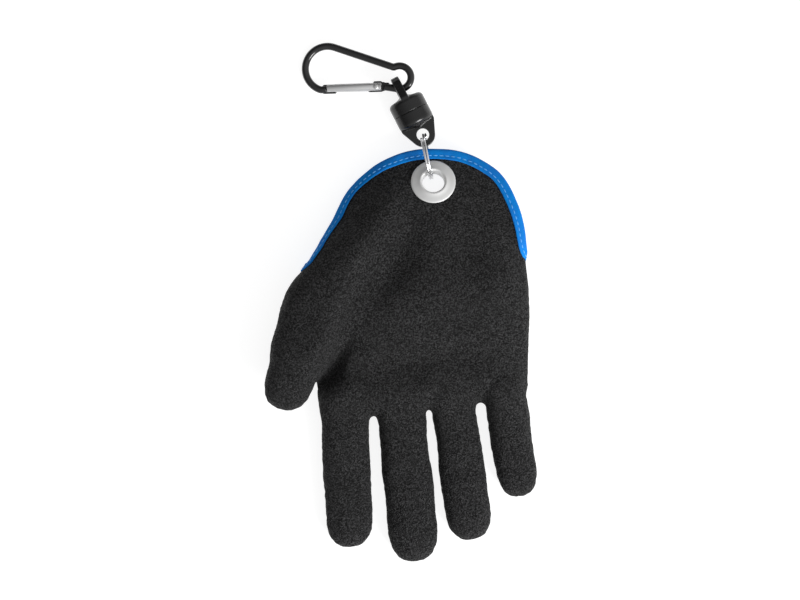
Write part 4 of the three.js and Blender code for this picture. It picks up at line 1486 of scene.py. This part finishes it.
@dataclass
class ReleaseClip:
    """The magnetic release: two moulded halves with holed tabs a quarter turn apart."""

    radius: float = 10.0 * MM
    half_length: float = 20.8 * MM
    barrel: float = 5.5 * MM
    shoulder: float = 2.5 * MM
    crown: float = 1.6 * MM
    tab_width: float = 19.4 * MM
    tab_shoulder: float = 8.5 * MM
    tab_thickness: float = 4.5 * MM
    hole_radius: float = 3.45 * MM
    hole_reach: float = 14.1 * MM
    magnet_radius: float = 6.0 * MM
    magnet_depth: float = 3.0 * MM
    gap: float = 0.3 * MM
    parting: float = 0.03 * MM
    rim_ease: float = 0.15 * MM
    tab_bevel: float = 0.5 * MM
    magnet_bevel: float = 0.3 * MM
    voxel: float = 0.24 * MM

    @property
    def axis(self) -> Vector:
        """Direction from the lower half to the upper one."""
        return (node_middle("magnet_upper") - node_middle("magnet_lower")).normalized()

    @property
    def middle(self) -> Vector:
        """Middle of the two mating faces."""
        return (node_middle("magnet_upper") + node_middle("magnet_lower")) / 2

    def body(self) -> Piece:
        """Spins the barrel with its round shoulder and low crown, its mating face near Z = 0."""
        steps = 8
        profile = [(0.0, self.parting), (self.radius - self.rim_ease, self.parting),
                   (self.radius, self.parting + self.rim_ease), (self.radius, self.barrel)]
        for step in range(1, steps + 1):
            angle = step / steps * math.pi / 2
            profile.append((self.radius - self.shoulder * (1 - math.cos(angle)),
                            self.barrel + self.shoulder * math.sin(angle)))
        top = self.barrel + self.shoulder
        inner = self.tab_thickness / 2
        for share in (0.35, 0.7, 0.9):
            reach = self.radius - self.shoulder + (inner - self.radius + self.shoulder) * share
            profile.append((reach, top + self.crown * share**1.8))
        profile += [(0.6 * inner, top + 1.25 * self.crown), (0.0, top + 1.3 * self.crown)]
        return spun("clip_body", profile, 72)

    def tab(self) -> Piece:
        """Extrudes the plate whose straight flanks run in to a round tip about its hole."""
        side, tip = self.tab_width / 2, self.half_length - self.hole_reach
        drop = self.hole_reach - self.tab_shoulder
        flank = math.acos(tip / math.hypot(side, drop)) - math.atan2(drop, side)
        outline = [(-side, self.barrel / 2), (side, self.barrel / 2), (side, self.tab_shoulder)]
        steps = 24
        for step in range(steps + 1):
            angle = flank + (math.pi - 2 * flank) * step / steps
            outline.append((tip * math.cos(angle), self.hole_reach + tip * math.sin(angle)))
        outline.append((-side, self.tab_shoulder))
        points = np.array([(x, -self.tab_thickness / 2, y) for x, y in outline])
        plate = mesh_piece("clip_tab", points, [range(len(points))])
        with editing(plate):
            bpy.ops.mesh.extrude_region_move(TRANSFORM_OT_translate={"value": (0, self.tab_thickness, 0)})
        face_outwards(plate)
        modify(plate, "BEVEL", width=self.tab_bevel, segments=3, limit_method="ANGLE", angle_limit=0.9)
        return plate

    def half(self, name: str, place: Matrix, *nodes: str) -> Piece:
        """Makes one half and softens it as moulded plastic.

        Args:
            name: The piece's name.
            place: Its frame, with Z from the mating face to the tab and Y across the tab.
            *nodes: The CAD node that it stands for.

        Returns:
            The dressed half.
        """
        piece = self.body()
        piece.name = piece.data.name = name
        cut(piece, self.tab(), "UNION")
        sideways = Matrix.Rotation(math.pi / 2, 4, "X")
        reach = Matrix.Translation((0, 0, self.hole_reach))
        cut(piece, drill(self.hole_radius, 3 * self.radius, reach @ sideways, 48))
        pocket = self.magnet_depth + 2 * self.gap
        cut(piece, drill(self.magnet_radius + self.gap, 2 * pocket, Matrix.Identity(4), 48))
        soften(piece, self.voxel, 5)
        put(piece, place)
        smooth(piece, 60.0)
        return dress(piece, CLIP_PLASTIC, "clip_plastic", GLOVE_BODY, *nodes)

    def magnet(self, name: str, place: Matrix, node: str) -> Piece:
        """Makes a magnet disc with a small chamfer.

        Args:
            name: The piece's name.
            place: The half's frame.
            node: The CAD node that it stands for.

        Returns:
            The dressed magnet.
        """
        bevel, rim, low = self.magnet_bevel, self.magnet_radius, self.gap
        high = low + self.magnet_depth
        piece = spun(name, [(0.0, low), (rim - bevel, low), (rim, low + bevel), (rim, high - bevel),
                            (rim - bevel, high), (0.0, high)], 48)
        put(piece, place)
        smooth(piece, 30.0)
        return dress(piece, MAGNET_METAL, "magnet", GLOVE_BODY, node)

    def build(self) -> list[Piece]:
        """Makes both halves and their magnets."""
        up = Vector((0, 0, 1))
        lower = frame_of(self.middle, up.cross(self.axis), -self.axis)
        upper = frame_of(self.middle, up, self.axis)
        return [
            self.half("release_lower", lower, "clip_lower"),
            self.half("release_upper", upper, "clip_upper"),
            self.magnet("release_magnet_lower", lower, "magnet_lower"),
            self.magnet("release_magnet_upper", upper, "magnet_upper"),
        ]


class Lug(NamedTuple):
    """A pressed bar that is part of the rod's end, along the gate.

    Attributes:
        length: Its length.
        slimmer: How much slimmer it is than the round of the hinge.
        start: Where it starts.
        rise: How far it stands aside of the gate's middle.
    """

    length: float
    slimmer: float
    start: float
    rise: float


@dataclass
class Carabiner:
    """Small carabiner: bent rod with pressed lugs, slotted solid gate and rivet."""

    rod: float = 2.02 * MM
    wide: float = 12.2 * MM
    small: float = 6.4 * MM
    span: float = 40.1 * MM
    drop: float = 5.4 * MM
    spine_lean: float = 19.4
    nose_angle: float = -105.0
    kink_angle: float = 119.0
    hinge_angle: float = -112.0
    gate_length: float = 30.4 * MM
    gate_radius: float = 2.35 * MM
    rivet_inset: float = 3.0 * MM
    gate_drop: float = 10.4 * MM
    nose_drop: float = 0.5 * MM
    pivot_reach: float = 12.7 * MM
    lug_radius: float = 2.95 * MM
    lug_thickness: float = 1.5 * MM
    lug_bevel: float = 0.72 * MM
    hinge_lugs: tuple[Lug, ...] = (
        Lug(4.8 * MM, 0.0, -1.7 * MM, 0.25 * MM),
        Lug(8.2 * MM, 0.9 * MM, -4.6 * MM, -0.35 * MM),
        Lug(2.6 * MM, 0.8 * MM, 2.2 * MM, 0.1 * MM),
        Lug(4.0 * MM, 1.6 * MM, 3.2 * MM, 0.1 * MM),
    )
    nose_lug: Lug = Lug(7.6 * MM, 0.7 * MM, -2.4 * MM, -0.5 * MM)
    pin_radius: float = 0.8 * MM
    head_radius: float = 1.45 * MM
    gap: float = 0.3 * MM
    voxel: float = 0.22 * MM

    @property
    def joint(self) -> dict:
        """The gate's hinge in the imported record."""
        return next(joint for joint in frame["joints"] if joint["name"] == "gate_hinge")

    @property
    def pivot(self) -> Vector:
        """The rivet's place in the carabiner's plane, from the middle of the wide end."""
        return Vector((self.span - self.pivot_reach, -self.gate_drop, 0.0))

    @property
    def nose(self) -> Vector:
        """The rod's nose in the carabiner's plane."""
        return self.pivot + Vector((self.rivet_inset - self.gate_length, -self.nose_drop, 0.0))

    @property
    def place(self) -> Matrix:
        """Frame of the carabiner: X and Y in its plane, its origin in the middle of the wide end."""
        normal = -Vector(self.joint["axis"])
        turned = frame_of(Vector(self.joint["pos_m"]), Vector((1, 0, 0)), normal)
        return turned @ Matrix.Translation(-self.pivot)

    @property
    def gate_place(self) -> Matrix:
        """Frame of the gate: X from its free end to its hinge, its origin on the rivet."""
        lean = self.pivot - self.nose
        return self.place @ Matrix.Translation(self.pivot) @ Matrix.Rotation(
            math.atan2(lean.y, lean.x), 4, "Z")

    @property
    def gate_reach(self) -> float:
        """Distance from the rivet to the gate's free end."""
        return self.gate_length - self.rivet_inset

    def route(self) -> list[Vector]:
        """Centre line of the rod, from its nose round both ends to the hinge."""
        def arc(centre: Vector, radius: float, start: float, end: float, count: int) -> list[Vector]:
            """Points of an arc between two angles in degrees."""
            return [centre + radius * Vector((math.cos(angle), math.sin(angle), 0))
                    for angle in sweep(start, end, count)]

        wide = arc(Vector((0, 0, 0)), self.wide, self.nose_angle, -270 - self.spine_lean, 28)
        end = Vector((self.span, -self.drop, 0))
        small = arc(end, self.small, self.kink_angle, self.hinge_angle, 22)
        shares = [step / 8 for step in range(1, 8)] + [0.93, 0.975]  # closer where the rod kinks
        spine = [wide[-1].lerp(small[0], share) for share in shares]
        hinge = self.pivot + Vector((self.rivet_inset + 0.7 * self.rod, 0, 0))
        start = self.nose - Vector((self.gap + 0.2 * MM, 0.4 * MM, 0))
        return [start, *wide, *spine, *small, hinge]

    def bar(self, lug: Lug, base: float = 0.0) -> Piece:
        """Makes a lug with rounded corners.

        Args:
            lug: Its sizes.
            base: The place along the gate, from the rivet, that its start counts from.

        Returns:
            The lug, in its place.
        """
        size = (lug.length, 2 * self.lug_radius - lug.slimmer, self.lug_thickness)
        bar = block("lug", size, (base + lug.start + lug.length / 2, lug.rise, 0))
        modify(bar, "BEVEL", width=self.lug_bevel, segments=4, limit_method="ANGLE", angle_limit=0.9)
        put(bar, self.gate_place)
        return bar

    def body(self) -> Piece:
        """Sweeps the rod, joins the lugs and drills the rivet's hole."""
        curve = bpy.data.curves.new("rod", "CURVE")
        curve.dimensions = "3D"
        curve.bevel_depth = self.rod
        curve.bevel_resolution = 6
        curve.resolution_u = 3
        curve.use_fill_caps = True
        points = self.route()
        line = curve.splines.new("NURBS")
        line.points.add(len(points) - 1)
        for target, point in zip(line.points, points):
            target.co = (*(self.place @ point), 1.0)
        line.use_endpoint_u = True
        line.order_u = 3
        rod = bpy.data.objects.new("carabiner_rod", curve)
        bpy.context.collection.objects.link(rod)
        pick(rod)
        bpy.ops.object.convert(target="MESH")
        rod = bpy.context.object
        settle(rod)
        for lug in self.hinge_lugs:
            cut(rod, self.bar(lug), "UNION")
        cut(rod, self.bar(self.nose_lug, -self.gate_reach), "UNION")
        cut(rod, drill(self.pin_radius + self.gap, 4 * self.rod, self.gate_place))
        soften(rod, self.voxel, 7)
        smooth(rod, 60.0)
        return dress(rod, ROD_COAT, "black_rod", GLOVE_BODY, "carabiner_body")

    def gate(self) -> Piece:
        """Turns the gate and cuts its slots, eased at every rim."""
        rim, bevel, long = self.gate_radius, 0.35 * MM, self.gate_length
        profile = [(0.0, 0.0), (rim - bevel, 0.0), (rim, bevel), (rim, long - bevel),
                   (rim - bevel, long), (0.0, long)]
        gate = spun("gate_bar", profile, 48)
        put(gate, Matrix.Translation((-self.gate_reach, 0, 0)) @ Matrix.Rotation(math.pi / 2, 4, "Y"))
        slot = self.lug_thickness + 2 * self.gap
        for start, length in ((-self.gate_reach - 4 * MM, 8.3 * MM),
                              (-self.lug_radius - 2 * self.gap, 12 * MM)):
            cut(gate, block("slot", (length, 4 * rim, slot), (start + length / 2, 0, 0)))
        cut(gate, drill(self.pin_radius + self.gap, 4 * rim, Matrix.Identity(4)))
        modify(gate, "BEVEL", width=0.12 * MM, segments=2, limit_method="ANGLE", angle_limit=0.6)
        put(gate, self.gate_place)
        smooth(gate, 35.0)
        return dress(gate, GATE_METAL, "gate_metal", GATE_BODY, "carabiner_gate")

    def rivet(self) -> Piece:
        """Turns the rivet with a domed head on each side."""
        half = self.gate_radius + 0.5 * self.gap
        dome = [(self.head_radius, half), (self.head_radius, half + 0.12 * MM),
                (0.75 * self.head_radius, half + 0.38 * MM), (0.35 * self.head_radius, half + 0.5 * MM),
                (0.0, half + 0.52 * MM)]
        profile = [(radius, -height) for radius, height in reversed(dome)]
        profile += [(self.pin_radius, -half), (self.pin_radius, half), *dome]
        pin = spun("gate_rivet", profile, 32)
        put(pin, self.gate_place)
        smooth(pin, 50.0)
        return dress(pin, GATE_METAL, "gate_metal", GLOVE_BODY, "gate_pin")

    def build(self) -> list[Piece]:
        """Makes the rod, the gate and the rivet."""
        return [self.body(), self.gate(), self.rivet()]


# The studio

@dataclass
class Studio:
    """Pale floor, one soft lamp, brighter air on one side and the camera straight above."""

    photo_width: int = 800
    pixel: float = 0.55 * MM
    aim: tuple[float, float] = (0.27 * MM, 1.23 * MM)
    height: float = 1.5
    sensor: float = 36.0
    floor_size: float = 6.0
    floor_drop: float = 0.05 * MM
    key_place: tuple[float, float, float] = (0.85, -0.8, 0.65)
    key_size: float = 0.6
    key_power: float = 24.0
    soft_side: tuple[float, float, float] = (0.66, -0.55, 0.51)
    shade: tuple[float, float, float] = (0.16, 0.16, 0.16)
    bright: tuple[float, float, float] = (0.9, 0.9, 0.9)
    turn_to_bright: tuple[float, float] = (-0.45, 0.9)

    def floor(self) -> Piece:
        """Lays the floor just under the glove."""
        pick_none()
        bpy.ops.mesh.primitive_grid_add(x_subdivisions=8, y_subdivisions=8, size=self.floor_size,
                                        location=(0, 0, -self.floor_drop))
        paper = name_new("studio_floor")
        bpy.ops.object.transform_apply(location=True, rotation=False, scale=False)
        paper.data.materials.append(FLOOR.material())
        return paper

    def lamp(self, name: str, place: Vector, size: float, power: float) -> None:
        """Hangs a square soft light that points at the glove.

        Args:
            name: The lamp's name.
            place: Where it hangs.
            size: Length of its sides.
            power: Its power in watts.
        """
        data = bpy.data.lights.new(name, "AREA")
        data.energy, data.size = power, size
        lamp = bpy.data.objects.new(name, data)
        lamp.location = place
        lamp.rotation_euler = (-place).to_track_quat("-Z", "Y").to_euler()
        bpy.context.collection.objects.link(lamp)

    def camera(self) -> None:
        """Hangs the camera so that the photograph's pixels keep their size on the floor."""
        data = bpy.data.cameras.new("photo_camera")
        data.sensor_width = self.sensor
        data.lens = self.sensor * self.height / (self.photo_width * self.pixel)
        data.clip_end = 20.0
        camera = bpy.data.objects.new("photo_camera", data)
        camera.location = (*self.aim, self.height)
        bpy.context.collection.objects.link(camera)
        bpy.context.scene.camera = camera

    def build(self) -> None:
        """Sets up the floor, the lamp, the camera and the air."""
        self.floor()
        self.lamp("key", Vector(self.key_place), self.key_size, self.key_power)
        self.camera()
        scene = bpy.context.scene
        world = bpy.data.worlds.new("studio_air")
        world.use_nodes = True
        air = ShaderGraph(world.node_tree)
        facing = air.add("VectorMath", {"operation": "DOT_PRODUCT"},
                         in0=air.add("TexCoord").outputs["Generated"], in1=self.soft_side)
        share = air.ramp(facing.outputs["Value"], *self.turn_to_bright)
        air.fill(world.node_tree.nodes["Background"],
                 Color=air.blend(share, (*self.shade, 1.0), (*self.bright, 1.0)))
        scene.world = world
        scene.view_settings.view_transform = "Standard"
        scene.view_settings.look = "None"


def main() -> None:
    logging.basicConfig(level=logging.INFO, format="%(name)s: %(message)s")
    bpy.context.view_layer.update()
    Studio().build()
    form = HandForm()
    trim = Trim(form)
    closed = form.build()
    pieces = EdgeTape(form, trim).build(closed)
    pieces.append(GloveSkin(form, trim).build(closed))
    pieces += Eyelet().build()
    pieces.append(SplitRing().build())
    pieces += ReleaseClip().build()
    pieces += Carabiner().build()
    pick_none()
    LOG.info("%d pieces made", len(pieces))


if __name__ == "__main__":
    main()
